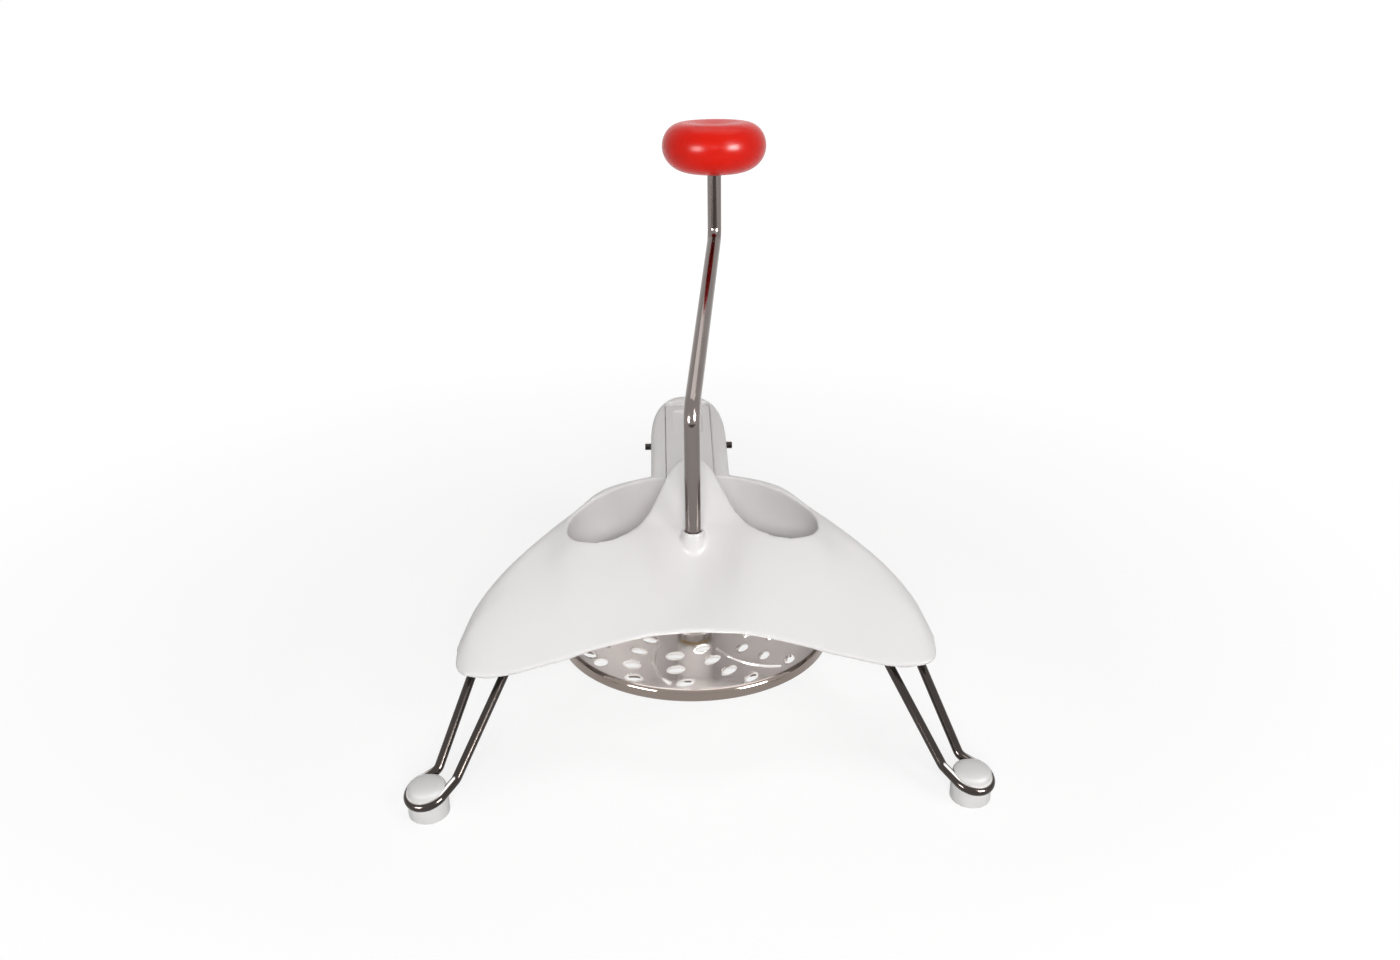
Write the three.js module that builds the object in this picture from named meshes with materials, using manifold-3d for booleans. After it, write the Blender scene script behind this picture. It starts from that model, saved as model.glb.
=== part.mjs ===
// Julienne slicer: a white body on three folding wire legs, with a bent crank and a cutting disc.
// Millimetres, +Z up, +Y to the rear. The shaft axis is the working origin of every piece.
// The last group moves the whole so that the middle of its plan box stands on the table origin.

import * as THREE from "three";
import { mergeVertices } from "three/addons/utils/BufferGeometryUtils.js";
import Module from "manifold-3d";

const wasm = await Module();
wasm.setup();

// Shared fits
const part_gap = 0.3;
const turning_gap = 0.4;
const wall = 2.5;
const cut_margin = 4;
const simplify_reach = 0.01;

// Counts of facets
const round_count = 28;
const small_round_count = 14;
const wire_side_count = 8;
const bend_count = 5;
const ring_count = 14;
const station_count = 26;
const tongue_count = 10;
const ring_point_count = 15;

// Crank rod
const rod_diameter = 7;
const rod_end_height = 30.6;
const rod_low_bend_radius = 11;
const rod_high_bend_radius = 8;
const crank_reach = 123.7;
const crank_rise = 50.1;
const stem_length = 31.8;
const crank_side = 15.5;

// Knob
const knob_diameter = 52;
const knob_height = 25;
const knob_top = 245.2;
const knob_edge_radius = 12.5;
const dimple_diameter = 31;
const dimple_depth = 2.2;
const cap_seat_depth = 5.2;
const clip_diameter = 13;
const clip_thickness = 1.2;
const clip_groove_depth = 0.7;
const knob_floor_share = 0.5;
const rod_top_share = 0.7;

// Cutting disc
const disc_diameter = 123;
const disc_sheet = 1;
const disc_top = 37.6;
const disc_rim_depth = 5;
const disc_edge_radius = 1.8;
const tooth_length = 8.2;
const tooth_width = 5;
const tooth_height = 2;
const tooth_sheet = 0.7;
const rib_width = 2;
const rib_height = 0.9;
const key_hole_diameter = 6;

// Hub, washer, bush and pins
const hub_diameter = 16;
const hub_flange_diameter = 27;
const hub_flange_thickness = 1.6;
const hub_top = 46.6;
const hub_neck_diameter = 13;
const hub_neck_drop = 2.6;
const pin_diameter = 2.5;
const pin_length = 12.4;
const rivet_diameter = 3;
const rivet_head_diameter = 5;
const rivet_head_height = 1;
const rivet_circle_diameter = 21.6;
const washer_thickness = 0.9;
const washer_diameter = 15;
const bush_diameter = 11;
const bush_flange_diameter = 16;
const bush_flange_thickness = 2;

// Body shell, in shares of these three sizes
const body_half_width = 101;
const body_depth = 100;
const body_height = 88.5;
const skirt_height = 40.9755;
const boss_diameter = 16.4;
const nub_top_diameter = 9.8;
const nub_base_diameter = 11.4;
const nub_drop = 14;
const hopper_floor = 41.2;

// Sloping front wall of the hopper, behind the shaft
const tongue_half_width = 29;
const tongue_rise = 23.2;
const tongue_spread = 15.7;
const tongue_power = 2.6;
const tongue_wall = 2.4;
const tongue_root = 7;

// Handle and the channel for the lever
const handle_width = 38;
const handle_root_y = 46;
const handle_end_y = 119;
const handle_slope_share = 0.236;
const handle_depth = 20;
const handle_end_length = 40;
const handle_end_power = 2.5;
const handle_edge = 3.5;
const handle_bury = 8;
const lever_width = 22.4;
const lever_thickness = 11.6;
const lever_front_y = 36.5;
const lever_pin_diameter = 4;
const lever_pin_length = 28;
const hinge_y = 106.5;
const hinge_drop = 7;
const knuckle_corner = 3;
const shoulder_setback = 5;
const recess_width = 16;
const recess_length = 23;
const recess_depth = 0.5;
const recess_end_y = 104;

// Neck of the lever and the pusher low in the hopper
const neck_front_y = 38.8;
const neck_back_y = 44.4;
const pusher_bottom = 48;
const bridge_front_y = 40.7;
const bridge_half_width = 19;
const screw_diameter = 2.4;
const screw_head_diameter = 4.4;
const screw_head_height = 1.6;
const screw_length = 14;
const screw_spacing = 15;
const screw_y = 42.6;

// Wire legs
const wire_diameter = 4;
const wire_bend_radius = 2.7;
const foot_ring_radius = 7.5;
const foot_diameter = 16.3;
const foot_dome_diameter = 15.4;
const foot_height = 16.5;
const foot_edge = 0.8;
const ring_height = 10.2;
const ring_tilt = 2.1;
const foot_near_bend_radius = 6;
const foot_far_bend_radius = 4;
const front_foot_x = 109;
const front_foot_y = -86;
const front_pivot_y = -33;
const near_wire_x = 73.8;
const far_wire_x = 89.4;
const stub_length = 5;
const near_vertex_x = 98;
const near_vertex_y = -82;
const near_vertex_z = 12.5;
const far_vertex_x = 105.8;
const far_vertex_y = -77.4;
const far_vertex_z = 14.2;
const ear_thickness = 3;
const ear_width = 9;
const rear_foot_y = 122;
const rear_pivot_y = 82;
const rear_pivot_drop = 6.496;
const rear_wire_x = 15.2;
const rear_stub_x = 22;
const rear_straight_drop = 24;
const slot_half_length = 9;
const slot_side = 2.4;

// Heights on the body, as shares of its height
const skirt_share = 0.463;
const nub_top_share = 0.92881;
const tongue_base_share = 0.9209;
const bush_reach_share = 0.517;
const handle_root_share = 1.00565;
const neck_bottom_share = 0.74915;
const pusher_lobe_top_share = 0.72316;
const bridge_bottom_share = 0.70056;
const front_pivot_share = 0.57627;
const shoulder_share = 0.22;
const shoulder_push_share = 0.55;
const inner_end_share = 0.98;
const inner_squeeze_share = 0.958;

// Tables of places, as shares of the body or of the disc

// Each row: place across, then front edge, two points of the ramp, crest and rear edge as y, z.
const section_shares = [
  [0, -0.42, 0.621, -0.13, 0.755, 0.1, 0.92, 0.49, 0.999, 0.555, 0.463],
  [0.11, -0.426, 0.617, -0.135, 0.787, 0.093, 0.931, 0.484, 0.997, 0.549, 0.463],
  [0.22, -0.435, 0.61, -0.15, 0.84, 0.08, 0.942, 0.475, 0.993, 0.54, 0.463],
  [0.42, -0.472, 0.565, -0.2, 0.83, 0, 0.945, 0.37, 0.974, 0.445, 0.463],
  [0.54, -0.505, 0.54, -0.26, 0.785, -0.07, 0.908, 0.19, 0.94, 0.27, 0.463],
  [0.63, -0.53, 0.528, -0.3, 0.742, -0.12, 0.86, 0.07, 0.911, 0.15, 0.49],
  [0.75, -0.565, 0.512, -0.37, 0.69, -0.21, 0.8, -0.08, 0.853, 0.01, 0.51],
  [0.85, -0.582, 0.508, -0.43, 0.643, -0.3, 0.735, -0.18, 0.775, -0.1, 0.52],
  [0.935, -0.575, 0.515, -0.47, 0.598, -0.38, 0.66, -0.28, 0.678, -0.21, 0.525],
  [0.98, -0.545, 0.515, -0.48, 0.56, -0.42, 0.588, -0.35, 0.592, -0.3, 0.53],
  [1, -0.5, 0.52, -0.47, 0.54, -0.44, 0.55, -0.41, 0.55, -0.38, 0.53],
];
// Hopper opening, one half, from the middle of the front round to the middle of the back.
const hopper_shares = [
  [0, 0.108],
  [0.09, 0.102],
  [0.17, 0.08],
  [0.285, 0],
  [0.36, -0.052],
  [0.43, -0.071],
  [0.5, -0.058],
  [0.545, -0.012],
  [0.553, 0.05],
  [0.538, 0.12],
  [0.495, 0.2],
  [0.42, 0.287],
  [0.3, 0.387],
  [0.17, 0.446],
  [0, 0.45],
];
// Pusher lobe, one half of the pair.
const lobe_shares = [
  [0.15, 0.37],
  [0.17, 0.342],
  [0.21, 0.268],
  [0.25, 0.197],
  [0.29, 0.135],
  [0.36, 0.068],
  [0.425, 0.036],
  [0.475, 0.04],
  [0.51, 0.09],
  [0.48, 0.18],
  [0.405, 0.28],
  [0.29, 0.375],
  [0.17, 0.43],
  [0.15, 0.43],
];
// Rim of the sloping wall: place across in shares of its half width, then y in body shares.
const tongue_rim_shares = [
  [0, 0.295],
  [0.14, 0.293],
  [0.27, 0.283],
  [0.37, 0.268],
  [0.48, 0.225],
  [0.59, 0.172],
  [0.72, 0.108],
  [0.86, 0.05],
  [1, 0.002],
];
// Teeth: radius in shares of the disc radius, in rows that alternate.
const long_row_shares = [0.455, 0.618, 0.785, 0.925];
const short_row_shares = [0.565, 0.74, 0.9];
const tooth_row_count = 14;
const rib_count = 7;
const rib_side_count = 6;
const long_row_turns = [0, 5, 11, 18];
const short_row_turns = [5, 9, 15];
const first_row_turn = -84.6;
const tooth_skew = 20;
const rib_radius_shares = [0.51, 0.6, 0.7, 0.8, 0.89, 0.96];
const rib_turns = [0, 2.5, 6, 10.5, 15.5, 21];
const first_rib_turn = -122.9;
const key_hole_radius_share = 0.9;
const key_hole_turn = -138;

// Turns
const quarter = Math.PI / 2;
const half_turn = Math.PI;
const full_turn = Math.PI * 2;
const degree = Math.PI / 180;

// Derived places
const rod_radius = rod_diameter / 2;
const bore_radius = rod_radius + turning_gap;
const disc_bottom = disc_top - disc_sheet;
const disc_radius = disc_diameter / 2;
const washer_bottom = hub_top + part_gap;
const bush_bottom = washer_bottom + washer_thickness + part_gap;
const bush_shoulder = bush_bottom + bush_flange_thickness;
const crank_back = Math.sqrt(crank_reach * crank_reach - crank_side * crank_side);
const knob_bottom = knob_top - knob_height;
const rod_bend_height = knob_bottom - stem_length - crank_rise;
const lever_half = lever_width / 2;
const channel_half = lever_half + part_gap;
const handle_half = handle_width / 2;
const slope_angle = Math.atan(handle_slope_share);
const rear_extent = crank_back + knob_diameter / 2;
const front_extent = -front_foot_y + foot_ring_radius + wire_diameter / 2;
const plan_shift = (front_extent - rear_extent) / 2;

// Body places from shares
function across(share) {
  return share * body_half_width;
}
function along(share) {
  return share * body_depth;
}
function upward(share) {
  const rise = (share - skirt_share) / (1 - skirt_share);
  return skirt_height + rise * (body_height - skirt_height);
}
const nub_top = upward(nub_top_share);
const bush_top = bush_shoulder + (nub_top - bush_shoulder) * bush_reach_share;
const tongue_base_height = upward(tongue_base_share);
const handle_root_top = upward(handle_root_share);
const neck_bottom = upward(neck_bottom_share);
const pusher_lobe_top = upward(pusher_lobe_top_share);
const bridge_bottom = upward(bridge_bottom_share);
const front_pivot_z = upward(front_pivot_share);

// Height of the handle's top face at a place along it
function handleTop(y) {
  return handle_root_top + (y - handle_root_y) * handle_slope_share;
}

const hinge_z = handleTop(hinge_y) - hinge_drop / Math.cos(slope_angle);
const rear_pivot_z = handleTop(rear_pivot_y) - rear_pivot_drop;

// A three.js geometry as a solid for joining and cutting
function solidOf(geometry) {
  const bare = geometry.clone();
  bare.deleteAttribute("normal");
  bare.deleteAttribute("uv");
  const merged = mergeVertices(bare);
  const kept = [];
  const source = merged.index.array;
  for (let k = 0; k < source.length; k += 3) {
    const corners = [source[k], source[k + 1], source[k + 2]];
    if (new Set(corners).size === 3) kept.push(...corners);
  }
  const made = new wasm.Manifold(
    new wasm.Mesh({
      numProp: 3,
      vertProperties: merged.attributes.position.array,
      triVerts: new Uint32Array(kept),
    }),
  );
  if (made.volume() > 0) return made;
  for (let k = 0; k < kept.length; k += 3) {
    [kept[k + 1], kept[k + 2]] = [kept[k + 2], kept[k + 1]];
  }
  return new wasm.Manifold(
    new wasm.Mesh({
      numProp: 3,
      vertProperties: merged.attributes.position.array,
      triVerts: new Uint32Array(kept),
    }),
  );
}

// A solid back as a three.js geometry
function geometryOf(solid) {
  const mesh = solid.simplify(simplify_reach).getMesh();
  const geometry = new THREE.BufferGeometry();
  const places = new Float32Array(mesh.numVert * 3);
  for (let k = 0; k < mesh.numVert; k += 1) {
    for (let axis = 0; axis < 3; axis += 1) {
      places[k * 3 + axis] = mesh.vertProperties[k * mesh.numProp + axis];
    }
  }
  geometry.setAttribute("position", new THREE.BufferAttribute(places, 3));
  geometry.setIndex(Array.from(mesh.triVerts));
  geometry.computeVertexNormals();
  return geometry;
}

// A turned body about Z: the profile is a list of radius, height
function turned(profile, count = round_count) {
  const points = profile.map(([radius, height]) => new THREE.Vector2(radius, height));
  return solidOf(new THREE.LatheGeometry(points, count).rotateX(quarter));
}

// A turned ring about Z with a square section
function turnedRing(inner, outer, bottom, top, count = round_count) {
  return turned(
    [
      [inner, bottom],
      [outer, bottom],
      [outer, top],
      [inner, top],
      [inner, bottom],
    ],
    count,
  );
}

// A plain cylinder about Z
function post(radius, bottom, top, count = round_count) {
  return turned(
    [
      [0, bottom],
      [radius, bottom],
      [radius, top],
      [0, top],
    ],
    count,
  );
}

// A cylinder along X between two places
function crossBar(radius, from_x, to_x, y, z, count = small_round_count) {
  const geometry = new THREE.CylinderGeometry(radius, radius, to_x - from_x, count);
  geometry.rotateZ(quarter);
  geometry.translate((from_x + to_x) / 2, y, z);
  return solidOf(geometry);
}

// A box between two corners
function block(low, high) {
  const size = [high[0] - low[0], high[1] - low[1], high[2] - low[2]];
  const geometry = new THREE.BoxGeometry(...size);
  geometry.translate((low[0] + high[0]) / 2, (low[1] + high[1]) / 2, (low[2] + high[2]) / 2);
  return solidOf(geometry);
}

// A closed body through a row of rings at places along X, each ring a list of y, z
function loftAcross(stations) {
  const count = stations[0].ring.length;
  const places = [];
  const faces = [];
  for (const station of stations) {
    for (const [y, z] of station.ring) places.push(station.x, y, z);
  }
  for (let row = 0; row + 1 < stations.length; row += 1) {
    for (let k = 0; k < count; k += 1) {
      const a = row * count + k;
      const b = row * count + ((k + 1) % count);
      faces.push(a, b, b + count, a, b + count, a + count);
    }
  }
  const last = (stations.length - 1) * count;
  const ends = [
    [stations[0].ring, 0, true],
    [stations[stations.length - 1].ring, last, false],
  ];
  for (const [ring, start, flipped] of ends) {
    const flat = ring.map(([y, z]) => new THREE.Vector2(y, z));
    let corners = THREE.ShapeUtils.triangulateShape(flat, []);
    if (corners.length !== count - 2) corners = flat.slice(2).map((_, k) => [0, k + 1, k + 2]);
    for (const [a, b, c] of corners) {
      if (flipped) faces.push(start + a, start + c, start + b);
      else faces.push(start + a, start + b, start + c);
    }
  }
  const geometry = new THREE.BufferGeometry();
  geometry.setAttribute("position", new THREE.BufferAttribute(new Float32Array(places), 3));
  geometry.setIndex(faces);
  return solidOf(geometry);
}

// An upright prism on a plan outline
function prism(outline, bottom, top) {
  const shape = new THREE.Shape(outline.map(([x, y]) => new THREE.Vector2(x, y)));
  const geometry = new THREE.ExtrudeGeometry(shape, { depth: top - bottom, bevelEnabled: false });
  geometry.translate(0, 0, bottom);
  return solidOf(geometry);
}

// The same outline grown outward by an amount, point by point
function grown(outline, amount) {
  const count = outline.length;
  return outline.map((point, k) => {
    const before = outline[(k + count - 1) % count];
    const after = outline[(k + 1) % count];
    const first = new THREE.Vector2(point[0] - before[0], point[1] - before[1]).normalize();
    const second = new THREE.Vector2(after[0] - point[0], after[1] - point[1]).normalize();
    const sum = first.clone().add(second).normalize();
    const stretch = 1 / Math.max(sum.dot(first), 0.5);
    return [point[0] + sum.y * amount * stretch, point[1] - sum.x * amount * stretch];
  });
}

// A half outline with its mirror image, as one closed outline
function mirrored(half) {
  const other = half
    .filter(([x]) => x > 0)
    .map(([x, y]) => [-x, y])
    .reverse();
  return [...half, ...other];
}

// A path for wire: straight runs between corners, each corner turned with its own radius
class BentPath extends THREE.Curve {
  constructor(places) {
    super();
    this.places = places;
  }
  getPointAt(share, target = new THREE.Vector3()) {
    const row = Math.round(share * (this.places.length - 1));
    return target.copy(this.places[row]);
  }
  getPoint(share, target) {
    return this.getPointAt(share, target);
  }
  getTangentAt(share, target = new THREE.Vector3()) {
    const rows = this.places.length - 1;
    const row = Math.round(share * rows);
    const before = this.places[Math.max(row - 1, 0)];
    const after = this.places[Math.min(row + 1, rows)];
    const here = this.places[row];
    const into = here.clone().sub(before).normalize();
    const out = after.clone().sub(here).normalize();
    return target.copy(into.add(out)).normalize();
  }
  getTangent(share, target) {
    return this.getTangentAt(share, target);
  }
}

// Points along straight runs with rounded corners
function bent(corners) {
  const places = [];
  corners.forEach((corner, k) => {
    if (!corner.radius || k === 0 || k === corners.length - 1) {
      places.push(corner.at.clone());
      return;
    }
    const into = corner.at.clone().sub(corners[k - 1].at).normalize();
    const out = corners[k + 1].at.clone().sub(corner.at).normalize();
    const bend = into.angleTo(out);
    const reach = corner.radius * Math.tan(bend / 2);
    const start = corner.at.clone().addScaledVector(into, -reach);
    const axis = into.clone().cross(out).normalize();
    const centre = start.clone().addScaledVector(axis.clone().cross(into), corner.radius);
    const arm = start.clone().sub(centre);
    for (let step = 0; step <= bend_count; step += 1) {
      const turn = (bend * step) / bend_count;
      places.push(centre.clone().add(arm.clone().applyAxisAngle(axis, turn)));
    }
  });
  return places;
}

// A round bar along a list of places
function bar(places, radius, count = wire_side_count) {
  const outline = [];
  for (let k = 0; k < count; k += 1) {
    const turn = (full_turn * k) / count;
    outline.push(new THREE.Vector2(Math.cos(turn) * radius, Math.sin(turn) * radius));
  }
  const geometry = new THREE.ExtrudeGeometry(new THREE.Shape(outline), {
    steps: places.length - 1,
    extrudePath: new BentPath(places),
    bevelEnabled: false,
  });
  return solidOf(geometry);
}

const at = (x, y, z) => new THREE.Vector3(x, y, z);

// Body shell

// One row of the section table at a share of the half width, by smooth blending
function sectionAt(share) {
  const rows = section_shares;
  let row = 0;
  while (row < rows.length - 2 && rows[row + 1][0] < share) row += 1;
  const one = rows[Math.max(row - 1, 0)];
  const two = rows[row];
  const three = rows[row + 1];
  const four = rows[Math.min(row + 2, rows.length - 1)];
  const span = three[0] - two[0];
  const t = (share - two[0]) / span;
  return two.map((value, k) => {
    if (k === 0) return share;
    const before = row === 0 ? 0 : ((three[k] - one[k]) / (three[0] - one[0])) * span;
    const after =
      row + 2 > rows.length - 1 ? three[k] - two[k] : ((four[k] - two[k]) / (four[0] - two[0])) * span;
    const h1 = 2 * t ** 3 - 3 * t ** 2 + 1;
    const h2 = t ** 3 - 2 * t ** 2 + t;
    const h3 = -2 * t ** 3 + 3 * t ** 2;
    const h4 = t ** 3 - t ** 2;
    return h1 * value + h2 * before + h3 * three[k] + h4 * after;
  });
}

// The open curve of a section, front edge to crest to rear edge, inset by an amount
function sectionCurve(share, inset) {
  const row = sectionAt(share);
  const corners = [];
  for (let k = 1; k < row.length; k += 2) corners.push(at(0, along(row[k]), upward(row[k + 1])));
  const crest = corners[3];
  const rear = corners[4];
  const shoulder = crest.clone().lerp(rear, shoulder_share);
  shoulder.y += (rear.y - crest.y) * shoulder_push_share;
  corners.splice(4, 0, shoulder);
  const curve = new THREE.CatmullRomCurve3(corners, false, "centripetal");
  const places = curve.getPoints(ring_point_count);
  return places.map((place, k) => {
    const before = places[Math.max(k - 1, 0)];
    const after = places[Math.min(k + 1, places.length - 1)];
    const run = after.clone().sub(before).normalize();
    const moved = [place.y + run.z * inset, place.z - run.y * inset];
    if (inset === 0) return moved;
    if (k === 0) return [moved[0] - run.y * cut_margin, moved[1] - run.z * cut_margin];
    if (k === places.length - 1) return [moved[0] + run.y * cut_margin, moved[1] + run.z * cut_margin];
    return moved;
  });
}

// Stations close up toward the wing tips
function stationShares(end) {
  const shares = [];
  for (let k = -station_count / 2; k <= station_count / 2; k += 1) {
    const even = k / (station_count / 2);
    shares.push(Math.sin(even * quarter * 0.86) / Math.sin(quarter * 0.86) * end);
  }
  return shares;
}

function shell(inset, end, squeeze) {
  return loftAcross(
    stationShares(end).map((share) => ({
      x: across(share) * squeeze,
      ring: sectionCurve(Math.abs(share), inset).reverse(),
    })),
  );
}

const outer_shell = shell(0, 1, 1);
const inner_shell = shell(wall, inner_end_share, inner_squeeze_share);

// Hopper: a wall that follows the opening, then the opening itself
const hopper_half = new THREE.SplineCurve(
  hopper_shares.map(([x, y]) => new THREE.Vector2(across(x), along(y))),
)
  .getPoints(20)
  .map((place) => [Math.max(place.x, 0), place.y]);
hopper_half[0][0] = 0;
hopper_half[hopper_half.length - 1][0] = 0;
const hopper_outline = mirrored(hopper_half);
const hopper_top = body_height + tongue_rise + cut_margin;
const hopper_wall = prism(grown(hopper_outline, wall), hopper_floor, hopper_top).intersect(outer_shell);
const hopper_hole = prism(hopper_outline, 0, hopper_top);

// Sloping wall behind the shaft
function skinHeight(x, y) {
  const curve = sectionCurve(Math.abs(x) / body_half_width, 0);
  for (let k = 0; k + 1 < curve.length; k += 1) {
    const [y0, z0] = curve[k];
    const [y1, z1] = curve[k + 1];
    if (y0 <= y && y <= y1) return z0 + ((z1 - z0) * (y - y0)) / (y1 - y0);
  }
  return body_height;
}
const tongue_rim = new THREE.SplineCurve(
  tongue_rim_shares.map(([x, y]) => new THREE.Vector2(x * tongue_half_width, along(y))),
).getPoints(tongue_count);
const crease_reach = along(0.08);
const tongue_stations = [];
for (const { x, y } of tongue_rim) {
  const side = Math.min(x / tongue_half_width, 1);
  const crease_y = crease_reach * (1 - side * side) - tongue_wall * side ** 6;
  const crease_z = skinHeight(x, crease_y);
  const rise = tongue_rise * Math.exp(-((x / tongue_spread) ** tongue_power));
  const rim_z = Math.max(tongue_base_height + rise, crease_z);
  const rim_y = Math.max(y, crease_y + tongue_wall);
  const run = new THREE.Vector2(rim_y - crease_y, rim_z - crease_z).normalize();
  const back_y = run.y * tongue_wall;
  const back_z = run.x * tongue_wall;
  tongue_stations.push({
    x,
    ring: [
      [crease_y, crease_z - tongue_root],
      [crease_y + tongue_wall * 1.1, crease_z - tongue_root],
      [crease_y + tongue_wall * 1.2, crease_z - back_z * 0.9],
      [rim_y + back_y * 0.7, rim_z - back_z * 0.7],
      [rim_y + back_y * 0.2, rim_z],
      [rim_y - run.x * tongue_wall * 0.3, rim_z - run.y * tongue_wall * 0.3],
      [crease_y, crease_z],
    ],
  });
}
const tongue = loftAcross([
  ...tongue_stations.slice(1).reverse().map(({ x, ring }) => ({ x: -x, ring })),
  ...tongue_stations,
]);

// Boss and nub for the shaft
const boss = post(boss_diameter / 2, bush_shoulder + part_gap, nub_top).intersect(outer_shell);
const nub = turned([
  [0, nub_top - nub_drop],
  [nub_base_diameter / 2, nub_top - nub_drop],
  [nub_top_diameter / 2, nub_top],
  [0, nub_top],
]);

// Handle, laid along its slope from the root to the rounded end
const handle_length = (handle_end_y - handle_root_y) / Math.cos(slope_angle) + handle_bury;
function handleFrame(geometry) {
  geometry.rotateX(slope_angle);
  geometry.translate(0, handle_root_y, handle_root_top);
  return geometry;
}
const handle_shape = new THREE.Shape();
const straight_end = handle_length - handle_bury - handle_end_length;
const handle_side = handle_half - handle_edge;
const handle_tip = handle_end_length - handle_edge;
const handle_end_count = 24;
handle_shape.moveTo(-handle_side, -handle_bury);
handle_shape.lineTo(handle_side, -handle_bury);
for (let k = 0; k <= handle_end_count; k += 1) {
  const turn = (half_turn * k) / handle_end_count;
  const out = Math.sign(Math.cos(turn)) * Math.abs(Math.cos(turn)) ** (2 / handle_end_power);
  const up = Math.abs(Math.sin(turn)) ** (2 / handle_end_power);
  handle_shape.lineTo(out * handle_side, straight_end + up * handle_tip);
}
const handle = solidOf(
  handleFrame(
    new THREE.ExtrudeGeometry(handle_shape, {
      depth: handle_depth - handle_edge * 2,
      bevelEnabled: true,
      bevelSize: handle_edge,
      bevelThickness: handle_edge,
      bevelSegments: 3,
      curveSegments: 12,
    }).translate(0, 0, handle_edge - handle_depth),
  ),
);

// A tilted block on the handle's slope: y along it from the root, z down from its top
function handleBlock(low, high) {
  const size = [high[0] - low[0], high[1] - low[1], high[2] - low[2]];
  const geometry = new THREE.BoxGeometry(...size);
  geometry.translate((low[0] + high[0]) / 2, (low[1] + high[1]) / 2, (low[2] + high[2]) / 2);
  return solidOf(handleFrame(geometry));
}
function slopeLength(y) {
  return (y - handle_root_y) / Math.cos(slope_angle);
}
const hinge_along = slopeLength(hinge_y) - hinge_drop * Math.tan(slope_angle);
const channel_depth = lever_thickness + turning_gap;
const channel = handleBlock(
  [-channel_half, slopeLength(lever_front_y) - cut_margin, -channel_depth],
  [channel_half, hinge_along, cut_margin],
);

// A turned knuckle about the hinge, with rounded shoulders
function knuckle(radius, half) {
  const corner = knuckle_corner;
  const profile = [
    [0, -half],
    [radius - corner, -half],
    [radius - corner * 0.3, corner * 0.7 - half],
    [radius, corner - half],
    [radius, half - corner],
    [radius - corner * 0.3, half - corner * 0.7],
    [radius - corner, half],
    [0, half],
  ];
  const points = profile.map(([r, x]) => new THREE.Vector2(r, x));
  const geometry = new THREE.LatheGeometry(points, round_count).rotateZ(quarter);
  return solidOf(geometry.translate(0, hinge_y, hinge_z));
}
const knuckle_radius = hinge_drop;
const knuckle_pocket = knuckle(knuckle_radius + turning_gap, channel_half);
const knuckle_mouth = handleBlock(
  [-channel_half + knuckle_corner, hinge_along, -hinge_drop],
  [channel_half - knuckle_corner, hinge_along + knuckle_radius + turning_gap, cut_margin],
);
const lever_pin_bore = crossBar(
  lever_pin_diameter / 2 + part_gap,
  -lever_pin_length / 2 - part_gap,
  lever_pin_length / 2 + part_gap,
  hinge_y,
  hinge_z,
);

// Slots for the rear wires, open from beneath, and the holes for their bent ends
const slot_half = wire_diameter / 2 + turning_gap;
const slot_bottom = rear_pivot_z - handle_depth - cut_margin;
const rear_slots = [-1, 1].map((side) => {
  const low_x = side * rear_wire_x - slot_half;
  const high_x = side * rear_wire_x + slot_half;
  const round_end = crossBar(slot_half, low_x, high_x, rear_pivot_y, rear_pivot_z);
  const low_slot = block(
    [low_x, rear_pivot_y - slot_half_length, slot_bottom],
    [high_x, rear_pivot_y + slot_half + slot_half_length, rear_pivot_z - slot_half * 2],
  );
  const high_slot = block(
    [low_x, rear_pivot_y - slot_half - slot_side, rear_pivot_z - slot_half * 2 - part_gap],
    [high_x, rear_pivot_y + slot_half + slot_side, rear_pivot_z],
  );
  return round_end.add(low_slot).add(high_slot);
});
const stub_bore_radius = wire_diameter / 2 + turning_gap;
const rear_bores = [-1, 1].map((side) =>
  crossBar(
    stub_bore_radius,
    Math.min(side * rear_wire_x, side * (handle_half + cut_margin)),
    Math.max(side * rear_wire_x, side * (handle_half + cut_margin)),
    rear_pivot_y,
    rear_pivot_z,
  ),
);

// Ears under the wings that carry the front wires
const near_ear_x = near_wire_x - wire_bend_radius - turning_gap - ear_thickness / 2;
const far_ear_x = far_wire_x + wire_bend_radius + turning_gap * 3.5 + ear_thickness / 2;
const ear_bottom = front_pivot_z - stub_bore_radius - wall;
const ears = [];
const ear_bores = [];
for (const side of [-1, 1]) {
  for (const x of [near_ear_x, far_ear_x]) {
    ears.push(
      block(
        [side * x - ear_thickness / 2, front_pivot_y - ear_width / 2, ear_bottom],
        [side * x + ear_thickness / 2, front_pivot_y + ear_width / 2, body_height],
      ).intersect(outer_shell.add(block(
        [side * x - ear_thickness, front_pivot_y - ear_width, 0],
        [side * x + ear_thickness, front_pivot_y + ear_width, front_pivot_z],
      ))),
    );
  }
  const far_end = far_wire_x + wire_bend_radius + stub_length + part_gap;
  const near_end = near_wire_x - wire_bend_radius - stub_length - part_gap;
  for (const [one, two] of [
    [far_ear_x - ear_thickness, far_end],
    [near_end, near_ear_x + ear_thickness],
  ]) {
    const low = Math.min(side * one, side * two);
    const high = Math.max(side * one, side * two);
    ear_bores.push(crossBar(stub_bore_radius, low, high, front_pivot_y, front_pivot_z));
  }
}

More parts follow.
